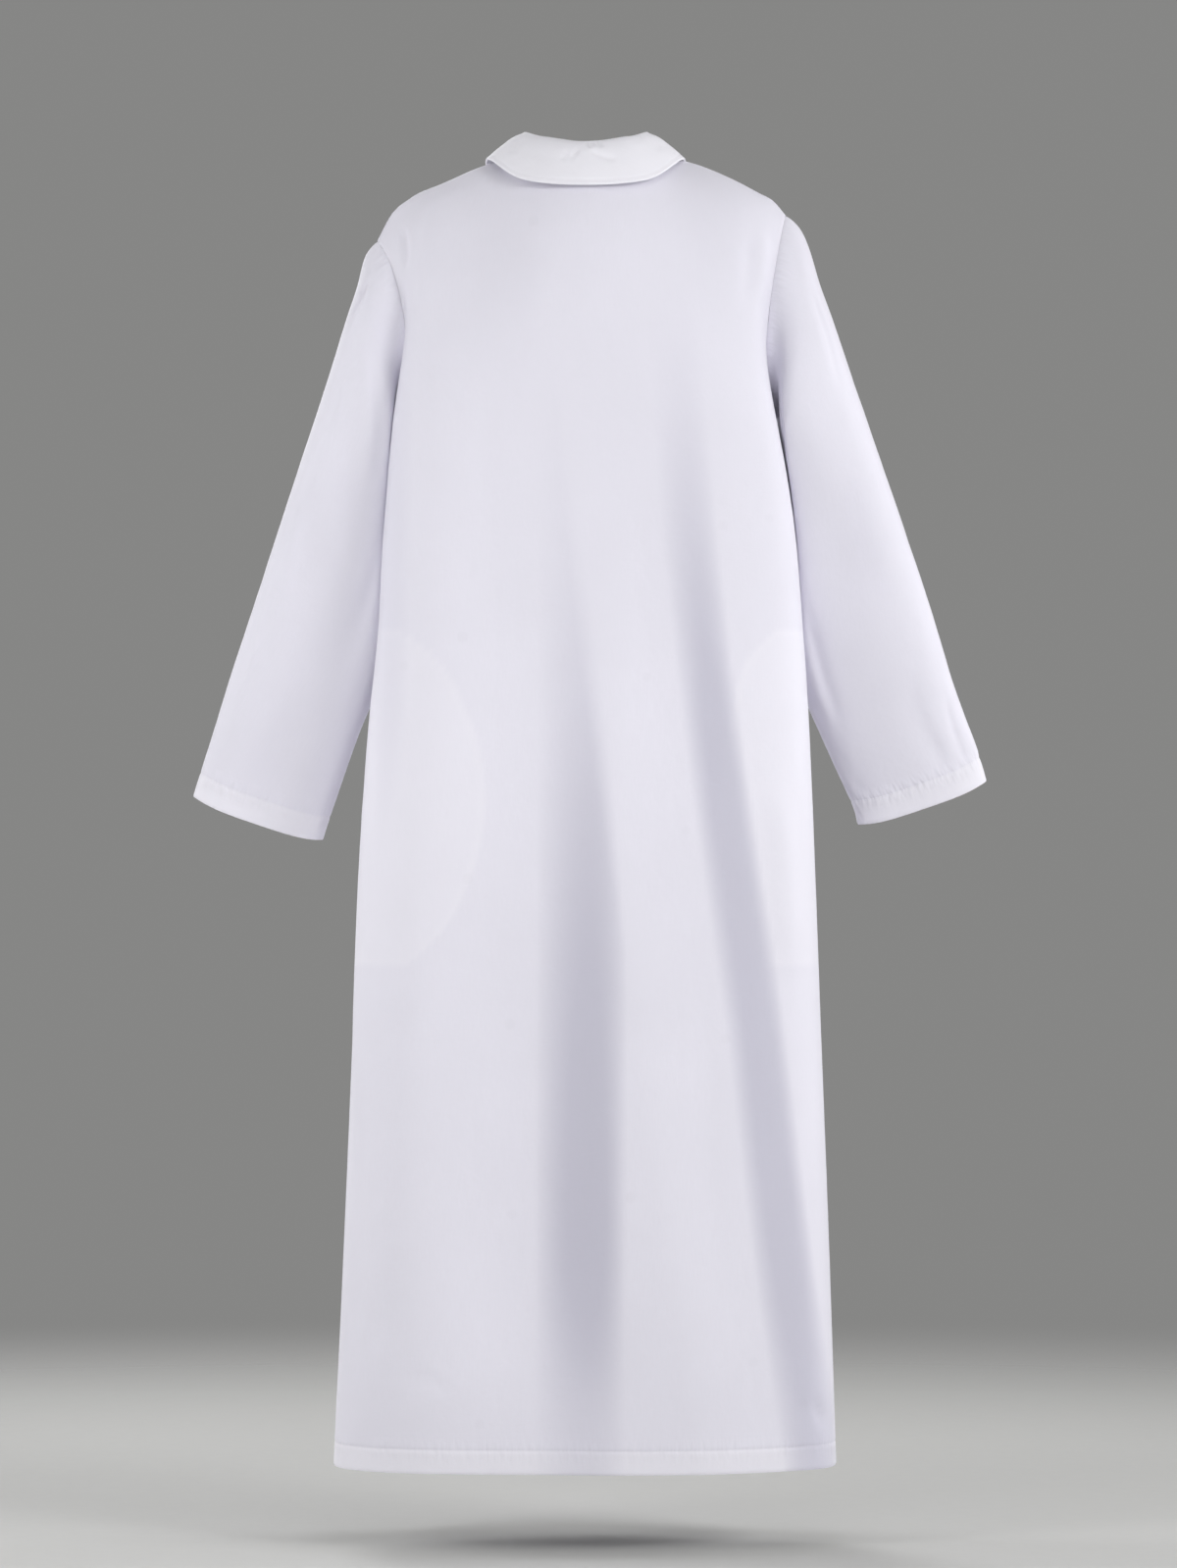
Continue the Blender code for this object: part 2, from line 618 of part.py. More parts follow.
def make_bag(side, material):
    """A pocket's bag, shut flat against the inside of the back: its two layers are one wall."""
    outer, inwards_by = [], []
    for point in BAG:
        half = smooth(SECTIONS, "height", side, point.height)
        free = math.asin((getattr(point, side) / half) ** (BACK_SQUARENESS / 2))
        seam = seam_angle(point.height)
        angles = np.linspace(seam - BAG_OFF_SEAM, free, BAG_COLUMNS + 1)
        x, y = section_xy(side, point.height, angles)
        x_near, y_near = section_xy(side, point.height, angles - SMALL_TURN)
        out = np.stack([y_near - y, x - x_near], axis=1)
        out /= np.linalg.norm(out, axis=1, keepdims=True)
        fold = fold_height("back", SIGN[side] * x, np.full_like(x, point.height))
        inset = fold * seam_fade(angles / seam) - BAG_DEPTH_INSIDE
        row = np.stack([x, y], axis=1) + out * inset[:, None]
        heights = np.full_like(x, point.height)
        outer.append(np.stack([SIGN[side] * row[:, 0], row[:, 1], heights], axis=1))
        wall = -DOUBLE_WALL * out
        inwards_by.append(np.stack([SIGN[side] * wall[:, 0], wall[:, 1], 0 * heights], axis=1))
    grid = np.array(outer)
    numbers = np.arange(grid.shape[0] * grid.shape[1]).reshape(grid.shape[:2])
    faces = grid_faces(numbers, flip=side == "right")
    return cloth_object("pocket_bag_" + side, grid, faces, np.array(inwards_by), material)


def make_material(name, colour, roughness):
    material = bpy.data.materials.new(name)
    material.use_nodes = True
    shader = material.node_tree.nodes["Principled BSDF"]
    shader.inputs["Base Color"].default_value = (*colour, 1)
    shader.inputs["Roughness"].default_value = roughness
    shader.inputs["Metallic"].default_value = 0
    return material


def main():
    for obj in list(bpy.data.objects):
        bpy.data.objects.remove(obj)
    cloth = make_material("white_cloth", (0.80, 0.79, 0.87), 0.75)
    collar_cloth = make_material("collar_cloth", (0.83, 0.82, 0.89), 0.7)
    lining = make_material("pocket_cloth", (0.80, 0.79, 0.85), 0.8)
    plastic = make_material("button_plastic", (0.82, 0.82, 0.84), 0.3)
    make_back(cloth)
    make_front(cloth)
    for side in SIGN:
        make_sleeve(side, cloth)
        make_bag(side, lining)
    make_stand(collar_cloth)
    make_fall(collar_cloth)
    make_placket(cloth)
    foot, top = stand_edges(180)
    up = (top - foot) / np.linalg.norm(top - foot)
    make_button("button_1", (foot + top) / 2, np.array([0, -up[2], up[1]]), plastic)
    for number, height in enumerate(BUTTON_HEIGHTS, 2):
        place, out = at_height(front_line(0.0), height)
        make_button(f"button_{number}", place + out * (PLACKET_GAP + WALL), out, plastic)


main()
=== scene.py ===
import math
from collections import namedtuple

import bpy
import numpy as np
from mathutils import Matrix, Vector, noise


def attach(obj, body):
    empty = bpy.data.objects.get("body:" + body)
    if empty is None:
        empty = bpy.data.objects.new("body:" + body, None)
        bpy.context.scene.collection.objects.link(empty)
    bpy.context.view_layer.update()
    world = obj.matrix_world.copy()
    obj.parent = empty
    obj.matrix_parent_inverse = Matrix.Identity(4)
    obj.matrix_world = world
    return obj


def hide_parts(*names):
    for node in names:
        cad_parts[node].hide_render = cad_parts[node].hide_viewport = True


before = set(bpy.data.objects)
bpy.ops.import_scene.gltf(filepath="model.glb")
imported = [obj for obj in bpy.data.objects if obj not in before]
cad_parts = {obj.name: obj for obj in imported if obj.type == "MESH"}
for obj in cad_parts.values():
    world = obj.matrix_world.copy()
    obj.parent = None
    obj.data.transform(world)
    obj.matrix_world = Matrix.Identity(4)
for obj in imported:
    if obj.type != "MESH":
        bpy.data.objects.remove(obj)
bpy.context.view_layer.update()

ROOT = "root"

# ---------------------------------------------------------------- the cloth's sizes
WALL = 0.0008
BAND_WALL = 0.0018
COLLAR_WALL = 0.0018
HEM = -1.362
HEM_BAND = 0.0245
UNDERARM = -0.265
SLIT_LOW = -0.400

Section = namedtuple("Section", "height left right back front side_y")
SECTIONS = (
    Section(-1.362, 0.2645, 0.2630, 0.150, 0.165, 0.000),
    Section(-1.165, 0.2555, 0.2565, 0.146, 0.163, 0.000),
    Section(-0.918, 0.2450, 0.2470, 0.141, 0.161, 0.000),
    Section(-0.753, 0.2385, 0.2410, 0.137, 0.160, 0.004),
    Section(-0.576, 0.2260, 0.2335, 0.131, 0.158, 0.012),
    Section(-0.485, 0.2165, 0.2275, 0.127, 0.156, 0.022),
    Section(-0.403, 0.2120, 0.2215, 0.124, 0.153, 0.032),
    Section(-0.341, 0.2060, 0.2140, 0.122, 0.150, 0.040),
    Section(-0.265, 0.1985, 0.1990, 0.120, 0.147, 0.046),
)
BACK_SQUARENESS = 2.7
FRONT_SQUARENESS = 1.95

ShoulderPoint = namedtuple("ShoulderPoint", "along left_x left_z right_x right_z")
SHOULDER = (
    ShoulderPoint(0.00, 0.080, 0.008, 0.080, 0.010),
    ShoulderPoint(0.25, 0.113, -0.002, 0.115, 0.002),
    ShoulderPoint(0.50, 0.149, -0.018, 0.150, -0.012),
    ShoulderPoint(0.75, 0.184, -0.034, 0.181, -0.028),
    ShoulderPoint(0.88, 0.203, -0.050, 0.197, -0.037),
    ShoulderPoint(1.00, 0.219, -0.079, 0.210, -0.052),
)
SHOULDER_Y = 0.006
NECK_SHARE = 1 / 3
BACK_NECK = (0.068, -0.012)
FRONT_NECK = (-0.080, -0.072)

Reach = namedtuple("Reach", "across rise_x rise_y rise_z fall_x fall_y fall_z")
YOKE = {
    "back": (
        Reach(0.00, 0.000, 0.006, 0.105, 0.000, 0.044, -0.048),
        Reach(0.33, 0.000, 0.004, 0.105, 0.006, 0.055, -0.030),
        Reach(0.60, -0.006, 0.006, 0.100, 0.006, 0.067, -0.016),
        Reach(0.85, -0.012, 0.025, 0.075, -0.006, 0.066, -0.018),
    ),
    "front": (
        Reach(0.00, 0.000, -0.002, 0.070, 0.000, -0.030, -0.050),
        Reach(0.33, 0.000, -0.002, 0.095, 0.010, -0.050, -0.030),
        Reach(0.60, -0.006, -0.004, 0.095, 0.006, -0.060, -0.025),
        Reach(0.85, -0.014, -0.020, 0.070, -0.010, -0.058, -0.030),
    ),
}
ARMHOLE = {
    ("back", "left"): Reach(1.0, -0.016, 0.055, 0.050, -0.027, 0.056, -0.031),
    ("back", "right"): Reach(1.0, -0.016, 0.055, 0.050, -0.008, 0.056, -0.031),
    ("front", "left"): Reach(1.0, -0.022, -0.045, 0.030, -0.037, -0.060, -0.041),
    ("front", "right"): Reach(1.0, -0.022, -0.045, 0.030, -0.030, -0.060, -0.045),
}

# The largest folds. Each is a trough (or a ridge, where depth is above 0) with one flank towards
# +X and one towards -X, since the cloth rolls over further to one side than to the other.
PathPoint = namedtuple("PathPoint", "z x")
Fold = namedtuple("Fold", "panel top onset left_at_hem path plus_width minus_width depth")
FOLDS = (
    Fold(
        "back", -0.12, 0.98, 0.30,
        ((-0.10, 0.054), (-0.45, 0.050), (-0.75, 0.052), (-1.05, 0.054), (-1.40, 0.056)),
        0.165, 0.096, -0.0310,
    ),
    Fold(
        "back", -0.10, 0.58, 0.75,
        (
            (-0.12, -0.060), (-0.38, -0.078), (-0.64, -0.110),
            (-0.86, -0.143), (-1.10, -0.174), (-1.40, -0.218),
        ),
        0.100, 0.058, -0.0185,
    ),
    Fold(
        "back", -0.11, 0.16, 0.0,
        ((-0.10, 0.176), (-0.40, 0.172), (-0.80, 0.168)),
        0.050, 0.080, 0.0050,
    ),
    Fold(
        "front", -0.34, 0.60, 0.8,
        ((-0.34, 0.070), (-0.85, 0.085), (-1.40, 0.105)),
        0.100, 0.070, -0.0150,
    ),
    Fold(
        "front", -0.42, 0.60, 0.8,
        ((-0.42, -0.055), (-0.90, -0.065), (-1.40, -0.075)),
        0.070, 0.110, -0.0150,
    ),
    Fold(
        "front", -0.60, 0.40, 0.8,
        ((-0.60, 0.010), (-1.00, 0.008), (-1.40, 0.004)),
        0.060, 0.060, 0.0070,
    ),
)
SEAM_EASE = 0.14

Ring = namedtuple("Ring", "station outer_x outer_z inner_x inner_z mid_y half_depth dip")
SLEEVES = {
    "left": (
        Ring(1.0, 0.2440, -0.138, 0.1945, -0.284, -0.010, 0.064, 0.000),
        Ring(2.0, 0.2710, -0.220, 0.1930, -0.318, -0.020, 0.067, 0.002),
        Ring(3.0, 0.3110, -0.341, 0.1950, -0.388, -0.036, 0.062, 0.004),
        Ring(4.0, 0.3510, -0.4645, 0.2070, -0.513, -0.054, 0.051, 0.006),
        Ring(5.0, 0.3790, -0.547, 0.2390, -0.594, -0.067, 0.039, 0.007),
        Ring(6.0, 0.4085, -0.637, 0.2705, -0.6835, -0.080, 0.026, 0.007),
        Ring(7.0, 0.4165, -0.662, 0.2785, -0.7086, -0.083, 0.024, 0.007),
    ),
    "right": (
        Ring(1.0, 0.2510, -0.138, 0.1945, -0.284, -0.010, 0.064, 0.000),
        Ring(2.0, 0.2800, -0.220, 0.1950, -0.318, -0.020, 0.067, 0.002),
        Ring(3.0, 0.3225, -0.341, 0.2020, -0.388, -0.036, 0.062, 0.004),
        Ring(4.0, 0.3640, -0.4645, 0.2150, -0.513, -0.054, 0.051, 0.006),
        Ring(5.0, 0.3895, -0.547, 0.2480, -0.596, -0.067, 0.039, 0.007),
        Ring(6.0, 0.4170, -0.621, 0.2810, -0.667, -0.080, 0.026, 0.007),
        Ring(7.0, 0.4250, -0.646, 0.2885, -0.692, -0.083, 0.024, 0.007),
    ),
}
CAP_FLARE = {"left": (0.038, 0.0, 0.006), "right": (0.050, 0.0, 0.036)}
SLEEVE_CLEARANCE = 0.0018
CUFF_STATION = 6
SLEEVE_BACK_SQUARENESS = 3.6

CollarPoint = namedtuple("CollarPoint", "angle roll_x roll_y roll_z leaf_x leaf_y leaf_z")
COLLAR = (
    CollarPoint(-45, -0.046, 0.047, 0.0272, -0.066, 0.070, -0.019),
    CollarPoint(0, 0.000, 0.062, 0.0213, 0.000, 0.0865, -0.026),
    CollarPoint(45, 0.046, 0.047, 0.0272, 0.066, 0.070, -0.019),
    CollarPoint(90, 0.068, 0.004, 0.0335, 0.105, 0.006, 0.007),
    CollarPoint(135, 0.050, -0.044, 0.0030, 0.090, -0.078, -0.030),
    CollarPoint(180, 0.000, -0.072, -0.0370, 0.054, -0.124, -0.092),
)
Knot = namedtuple("Knot", "run x y z")
STAND_OVERLAP = 9
STAND_LIFT = 0.0030
STAND_DROP = 0.0040
LAP = 0.0030
LAP_STARTS = 135
LAP_EASE = 27
LEAF_END = 176

PLACKET_WIDTH = 0.034
PLACKET_LOW = -0.425
PLACKET_TOP = -0.079
PLACKET_LIFT = 0.0018
PLACKET_STITCH = 0.0028
BUTTON_THICKNESS = 0.0022
BUTTON_HEIGHTS = (-0.135, -0.210, -0.285, -0.360)

BagPoint = namedtuple("BagPoint", "height left right")
BAG = (
    BagPoint(-0.836, 0.185, 0.190),
    BagPoint(-0.800, 0.150, 0.160),
    BagPoint(-0.749, 0.1226, 0.143),
    BagPoint(-0.690, 0.107, 0.140),
    BagPoint(-0.647, 0.106, 0.142),
    BagPoint(-0.570, 0.1257, 0.152),
    BagPoint(-0.514, 0.160, 0.172),
    BagPoint(-0.487, 0.195, 0.200),
)
BAG_INSIDE = 0.0080
BAG_WALL = 0.0006

SIGN = {"left": 1, "right": -1}

# ---------------------------------------------------------------- the finer creases
# path is the crease's line in metres: x and height on a panel, and on a sleeve the way round
# (from the underarm seam over the back) and the way down from the cap. lean tips the crease
# over, with a ridge on one side of the line and a trough on the other.
Crease = namedtuple("Crease", "path width depth lean")
CREASE_ROWS = {
    "back": (
        (((-0.196, -0.62), (-0.206, -0.73), (-0.214, -0.86)), 0.014, 0.0045, 0.0),
        (((-0.150, -0.83), (-0.150, -1.00), (-0.168, -1.20)), 0.020, 0.0025, 0.0),
        (
            ((0.196, -0.060), (0.189, -0.078), (0.187, -0.100), (0.192, -0.118)),
            0.0045, -0.0030, 0.0,
        ),
        (((-0.182, -0.060), (-0.186, -0.100), (-0.184, -0.150)), 0.0075, 0.0030, 0.0),
        (((-0.168, -0.070), (-0.170, -0.110), (-0.167, -0.165)), 0.0085, -0.0024, 0.0),
        (((-0.238, -1.290), (-0.246, -1.305), (-0.252, -1.322)), 0.0050, -0.0030, 0.0015),
        (((0.236, -0.86), (0.240, -1.05), (0.246, -1.32)), 0.015, -0.0030, 0.0),
        (((0.225, -1.190), (0.218, -1.216), (0.222, -1.240)), 0.0060, -0.0014, 0.0008),
        (((0.200, -1.262), (0.168, -1.266), (0.130, -1.284)), 0.0070, -0.0012, 0.0008),
    ),
    "front": (
        (((0.045, -0.50), (0.050, -0.85), (0.056, -1.28)), 0.017, 0.0030, 0.0),
        (((-0.098, -0.16), (-0.092, -0.40), (-0.100, -0.75)), 0.030, -0.0035, 0.0),
        (((0.150, -0.30), (0.158, -0.60), (0.172, -0.95)), 0.024, -0.0035, 0.0),
        (((-0.150, -0.80), (-0.166, -1.00), (-0.184, -1.25)), 0.020, 0.0030, 0.0),
        (((0.196, -0.92), (0.206, -1.10), (0.216, -1.32)), 0.017, -0.0030, 0.0),
        (((0.188, -0.080), (0.183, -0.110), (0.180, -0.160)), 0.0070, -0.0026, 0.0),
        (((-0.176, -0.070), (-0.176, -0.110), (-0.172, -0.170)), 0.0075, -0.0026, 0.0),
        (((0.070, -0.075), (0.094, -0.130), (0.108, -0.210)), 0.013, -0.0020, 0.0),
        (((-0.072, -0.075), (-0.092, -0.125), (-0.100, -0.200)), 0.013, -0.0020, 0.0),
        (((-0.205, -1.250), (-0.170, -1.262), (-0.140, -1.286)), 0.0070, -0.0012, 0.0008),
    ),
    "left": (
        (((0.150, 0.020), (0.146, 0.075)), 0.0050, -0.0034, 0.0),
        (((0.096, 0.055), (0.090, 0.110), (0.088, 0.185)), 0.0070, 0.0026, 0.0),
        (((0.120, 0.190), (0.110, 0.260), (0.112, 0.340)), 0.0140, -0.0034, 0.0),
        (((0.060, 0.230), (0.072, 0.300), (0.084, 0.380)), 0.0090, -0.0024, 0.0010),
        (((0.150, 0.300), (0.138, 0.360), (0.132, 0.430)), 0.0100, 0.0024, 0.0),
        (((0.085, 0.420), (0.094, 0.480), (0.090, 0.545)), 0.0080, -0.0022, 0.0008),
        (((0.006, 0.522), (0.020, 0.534), (0.040, 0.541)), 0.0038, -0.0024, 0.0012),
        (((0.250, 0.180), (0.240, 0.280), (0.244, 0.400)), 0.0130, -0.0030, 0.0),
        (((0.290, 0.260), (0.284, 0.340), (0.276, 0.440)), 0.0100, -0.0026, 0.0010),
    ),
    "right": (
        (((0.062, 0.040), (0.052, 0.080), (0.048, 0.130)), 0.0070, -0.0034, 0.0),
        (((0.140, 0.030), (0.132, 0.080), (0.128, 0.150)), 0.0100, -0.0022, 0.0),
        (((0.100, 0.170), (0.096, 0.260), (0.102, 0.350)), 0.0130, -0.0030, 0.0),
        (((0.060, 0.300), (0.066, 0.380), (0.058, 0.460)), 0.0090, -0.0024, 0.0010),
        (((0.110, 0.400), (0.104, 0.460), (0.112, 0.540)), 0.0085, -0.0024, 0.0008),
        (((0.148, 0.440), (0.138, 0.490), (0.140, 0.545)), 0.0070, -0.0018, 0.0),
        (((0.008, 0.522), (0.020, 0.536), (0.036, 0.553)), 0.0034, -0.0022, 0.0014),
        (((0.014, 0.500), (0.026, 0.522), (0.044, 0.540)), 0.0050, -0.0012, 0.0006),
        (((0.250, 0.200), (0.244, 0.300), (0.250, 0.420)), 0.0130, -0.0030, 0.0),
        (((0.290, 0.300), (0.280, 0.380), (0.284, 0.480)), 0.0100, -0.0026, 0.0010),
    ),
}
CREASES = {name: [Crease(*row) for row in rows] for name, rows in CREASE_ROWS.items()}

# ---------------------------------------------------------------- curves and surfaces
def hermite(values, slopes, low, t, span=1):
    """A smooth curve from the value at low to the next one, t of the way along."""
    ends = values[low] * (1 + 2 * t) * (1 - t) ** 2 + values[low + 1] * (3 - 2 * t) * t**2
    return ends + span * t * (1 - t) * (slopes[low] * (1 - t) - slopes[low + 1] * t)


def smooth(table, key, name, at):
    """The column called name, read at a value of the column called key, on a smooth curve."""
    keys = np.array([getattr(row, key) for row in table])
    values = np.array([getattr(row, name) for row in table])
    slopes = np.gradient(values, keys)
    at = np.clip(at, keys[0], keys[-1])
    low = np.clip(np.searchsorted(keys, at) - 1, 0, len(keys) - 2)
    span = keys[low + 1] - keys[low]
    return hermite(values, slopes, low, (at - keys[low]) / span, span)


def smooth_xyz(table, key, prefix, at):
    """The columns prefix + x, y and z, read together."""
    return np.stack([smooth(table, key, prefix + axis, at) for axis in "xyz"], axis=-1)


def read_at(at, keys, points):
    """Points given at rising keys, read at other values of the key along straight lines."""
    return np.stack([np.interp(at, keys, points[:, axis]) for axis in range(3)], axis=-1)


def length_along(points):
    """How far each point of a line is from its start."""
    return np.concatenate([[0], np.cumsum(np.linalg.norm(np.diff(points, axis=0), axis=1))])


def ease(t):
    t = np.clip(t, 0, 1)
    return t * t * (3 - 2 * t)


def unit(vectors):
    return vectors / np.linalg.norm(vectors, axis=-1, keepdims=True)


def bezier(start, leave, reach, end, t):
    t = np.asarray(t)[:, None]
    first = (1 - t) ** 3 * start + 3 * t * (1 - t) ** 2 * leave
    return first + 3 * t**2 * (1 - t) * reach + t**3 * end


def section_sizes(side, height):
    """A level section's half width, where its side is in y, and its reach back and front."""
    half, side_y, back, front = (
        smooth(SECTIONS, "height", name, height) for name in (side, "side_y", "back", "front")
    )
    return half, side_y, back - side_y, front + side_y


def section_xy(side, height, angle):
    """A point of the level section: angle 0 is the centre back and pi the centre front."""
    half, side_y, back, front = section_sizes(side, height)
    behind = np.cos(angle) >= 0
    power = 2 / np.where(behind, BACK_SQUARENESS, FRONT_SQUARENESS)
    x = half * np.abs(np.sin(angle)) ** power
    y = side_y + np.where(behind, back, -front) * np.abs(np.cos(angle)) ** power
    return x, y


def seam_angle(height):
    """The angle at which the side seam crosses the section, in the plane y = 0."""
    _, side_y, _, front = section_sizes("left", height)
    return math.pi / 2 + np.arcsin((np.maximum(side_y, 0) / front) ** (FRONT_SQUARENESS / 2))


def section_row(panel, side, height, shares):
    """Points at these shares of the section's length, and each one's share of its angle."""
    seam = seam_angle(height)
    start, end = (0.0, seam) if panel == "back" else (math.pi, seam)
    angles = np.linspace(start, end, 1500)
    x, y = section_xy(side, height, angles)
    run = np.concatenate([[0], np.cumsum(np.hypot(np.diff(x), np.diff(y)))])
    angle = np.interp(shares * run[-1], run, angles)
    x, y = section_xy(side, height, angle)
    points = np.stack([SIGN[side] * x, y, np.full_like(x, height)], axis=1)
    return points, (angle - start) / (end - start)


def neckline(panel, side, turn):
    """A point of the neckline. turn is 0 at the centre line and 1 at the shoulder."""
    centre_y, centre_z = BACK_NECK if panel == "back" else FRONT_NECK
    half_width = smooth(SHOULDER, "along", side + "_x", 0.0)
    shoulder_z = smooth(SHOULDER, "along", side + "_z", 0.0)
    towards_centre = math.cos(turn * math.pi / 2)
    return np.array(
        [
            SIGN[side] * half_width * math.sin(turn * math.pi / 2),
            SHOULDER_Y + (centre_y - SHOULDER_Y) * towards_centre,
            shoulder_z + (centre_z - shoulder_z) * towards_centre,
        ]
    )


def top_edge(panel, side, across):
    """The point where a column ends, on the neckline or on the shoulder seam."""
    if across < NECK_SHARE:
        return neckline(panel, side, across / NECK_SHARE)
    along = (across - NECK_SHARE) / (1 - NECK_SHARE)
    x = smooth(SHOULDER, "along", side + "_x", along)
    z = smooth(SHOULDER, "along", side + "_z", along)
    return np.array([SIGN[side] * x, SHOULDER_Y, z])


def yoke_column(panel, side, across, start, steps):
    """A column of points from its start on the underarm row up to the top edge."""
    table = YOKE[panel] + (ARMHOLE[panel, side],)
    end = top_edge(panel, side, across)
    mirror = np.array([SIGN[side], 1, 1])
    rise = smooth_xyz(table, "across", "rise_", across)
    fall = smooth_xyz(table, "across", "fall_", across)
    return bezier(start, start + rise * mirror, end + fall * mirror, end, steps)


def normals_of(grid):
    """Unit normals of a grid of points, rows by columns, by the right hand."""
    return unit(np.cross(np.gradient(grid, axis=1), np.gradient(grid, axis=0)))


def outward_of(grid, centre):
    """1 where the grid's normals face away from the centre, and -1 where they face it."""
    return np.sign(np.sum(normals_of(grid) * (grid - centre)))


def upright_line(grid):
    """For each point, the one at its height on the axis through the neck."""
    line = np.zeros_like(grid)
    line[..., 2] = grid[..., 2]
    return line


def facing(quads, outward):
    """The cells, turned over if the grid they came from faces inwards."""
    return quads[:, ::-1] if outward < 0 else quads


def run_of(grid, axis):
    """How far each point of a grid is from the grid's first row or column, in metres."""
    steps = np.linalg.norm(np.diff(grid, axis=axis), axis=2)
    pad = [(0, 0), (0, 0)]
    pad[axis] = (1, 0)
    return np.cumsum(np.pad(steps, pad), axis=axis)


def fold_height(panel, x, z):
    """How far the panel's largest folds stand out of its plain surface."""
    total = np.zeros_like(x)
    for fold in FOLDS:
        if fold.panel != panel:
            continue
        line = smooth([PathPoint(*point) for point in reversed(fold.path)], "z", "x", z)
        width = np.where(x > line, fold.plus_width, fold.minus_width)
        low = fold.path[-1][0] if fold.left_at_hem == 0 else HEM
        fading = fold.left_at_hem + (1 - fold.left_at_hem) * ease((z - low) / 0.24)
        strength = ease((fold.top - z) / fold.onset) * fading
        share = np.clip(1 - ((x - line) / width) ** 2, 0, 1)
        total += fold.depth * strength * share**2
    return total


def rounded(path):
    """A path with its corners cut off three times over."""
    path = np.array(path)
    for _ in range(3):
        near, far = path[:-1] * 0.75 + path[1:] * 0.25, path[:-1] * 0.25 + path[1:] * 0.75
        cut = np.stack([near, far], axis=1).reshape(-1, 2)
        path = np.concatenate([path[:1], cut, path[-1:]])
    return path


def crease_height(creases, across, down):
    """How far the creases stand out at points given across and down, in metres."""
    total = np.zeros_like(across)
    for crease in creases:
        path = rounded(crease.path)
        lengths = np.linalg.norm(np.diff(path, axis=0), axis=1)
        run = length_along(path)
        nearest = np.full(across.shape, 1e9)
        side, place = np.zeros_like(across), np.zeros_like(across)
        for start, step, length, begun in zip(path, np.diff(path, axis=0), lengths, run):
            t = ((across - start[0]) * step[0] + (down - start[1]) * step[1]) / length**2
            t = np.clip(t, 0, 1)
            off_x = across - start[0] - t * step[0]
            off_z = down - start[1] - t * step[1]
            gap = np.hypot(off_x, off_z)
            closer = gap < nearest
            nearest = np.where(closer, gap, nearest)
            turned = np.sign(step[0] * off_z - step[1] * off_x)
            side = np.where(closer, turned * gap, side)
            place = np.where(closer, (begun + t * length) / run[-1], place)
        fade = ease(place / 0.35) * ease((1 - place) / 0.35)
        tipped = crease.depth + crease.lean * side / crease.width
        total += fade * bell(nearest, crease.width) * tipped
    return total


def ripple(across, down, seed, scale_across, scale_down):
    """Smooth uneven waves between about -1 and 1."""
    flat = zip(across.ravel() * scale_across, down.ravel() * scale_down)
    values = [noise.noise(Vector((a, b, seed))) for a, b in flat]
    return np.array(values).reshape(across.shape)


def ripples(across, down, seed, waves):
    """Waves of several sizes added up, from rows of seed step, scales and height."""
    return sum(size * ripple(across, down, seed + step, a, d) for step, a, d, size in waves)


def quads_of(numbers):
    """The four corners of every cell of a grid of point numbers."""
    return np.stack(
        [numbers[:-1, :-1], numbers[:-1, 1:], numbers[1:, 1:], numbers[1:, :-1]], axis=-1
    ).reshape(-1, 4)


def circle(sides):
    """The angles of points evenly round a circle."""
    return np.arange(sides) * 2 * math.pi / sides


def tube(rings, sides, first=0):
    """The cells between rings of points that are numbered on from first, ring by ring."""
    cells = []
    for low in range(first, first + (rings - 1) * sides, sides):
        for i in range(sides):
            j = (i + 1) % sides
            cells.append([low + i, low + j, low + sides + j, low + sides + i])
    return cells


def new_object(name, points, faces, material):
    mesh = bpy.data.meshes.new(name)
    mesh.from_pydata(np.asarray(points).tolist(), [], [list(map(int, f)) for f in faces])
    mesh.update()
    mesh.shade_smooth()
    mesh.set_sharp_from_angle(angle=math.radians(50))
    mesh.materials.append(material)
    obj = bpy.data.objects.new(name, mesh)
    bpy.context.scene.collection.objects.link(obj)
    return obj


# The last mark is painted shade on the flanks of the big folds; the others mark doubled cloth, needle
# puckers and where a pocket bag shows through.
MARKS = ("double", "pucker", "bag", "hollow")


def shell(name, outer, inward, quads, material, marks=None):
    """A closed wall between a sheet and its copy moved inwards, with its map and marks."""
    across, down = run_of(outer, 1), run_of(outer, 0)
    outer = outer.reshape(-1, 3)
    count = len(outer)
    points = np.concatenate([outer, outer + inward.reshape(-1, 3)])
    sides = np.concatenate([quads[:, [i, (i + 1) % 4]] for i in range(4)])
    _, first, times = np.unique(
        np.sort(sides, axis=1), axis=0, return_index=True, return_counts=True
    )
    rim = sides[first[times == 1]]
    rim = np.stack([rim[:, 1], rim[:, 0], rim[:, 0] + count, rim[:, 1] + count], axis=1)
    faces = np.concatenate([quads, quads[:, ::-1] + count, rim])
    used = np.unique(faces)
    renumber = np.zeros(2 * count, int)
    renumber[used] = np.arange(len(used))
    obj = new_object(name, points[used], renumber[faces], material)
    corner = np.empty(len(obj.data.loops), np.int32)
    obj.data.loops.foreach_get("vertex_index", corner)
    place = np.stack([across.ravel(), down.ravel()], axis=1)
    place = np.concatenate([place, place])[used][corner]
    layer = obj.data.uv_layers.new(name="cloth")
    layer.data.foreach_set("uv", place.astype(np.float32).ravel())
    for mark in MARKS:
        values = np.zeros(count) if not marks or mark not in marks else marks[mark].ravel()
        values = np.concatenate([values, values])[used]
        attribute = obj.data.attributes.new(mark, "FLOAT", "POINT")
        attribute.data.foreach_set("value", values.astype(np.float32))
    return obj


def bell(distance, width):
    """1 on a line, falling off smoothly to both sides of it."""
    return np.exp(-((distance / width) ** 2))


def seam_lip(distance, depth=0.0003, width=0.0018):
    """How far the cloth dips where it turns in at a seam."""
    return -depth * bell(distance, width)


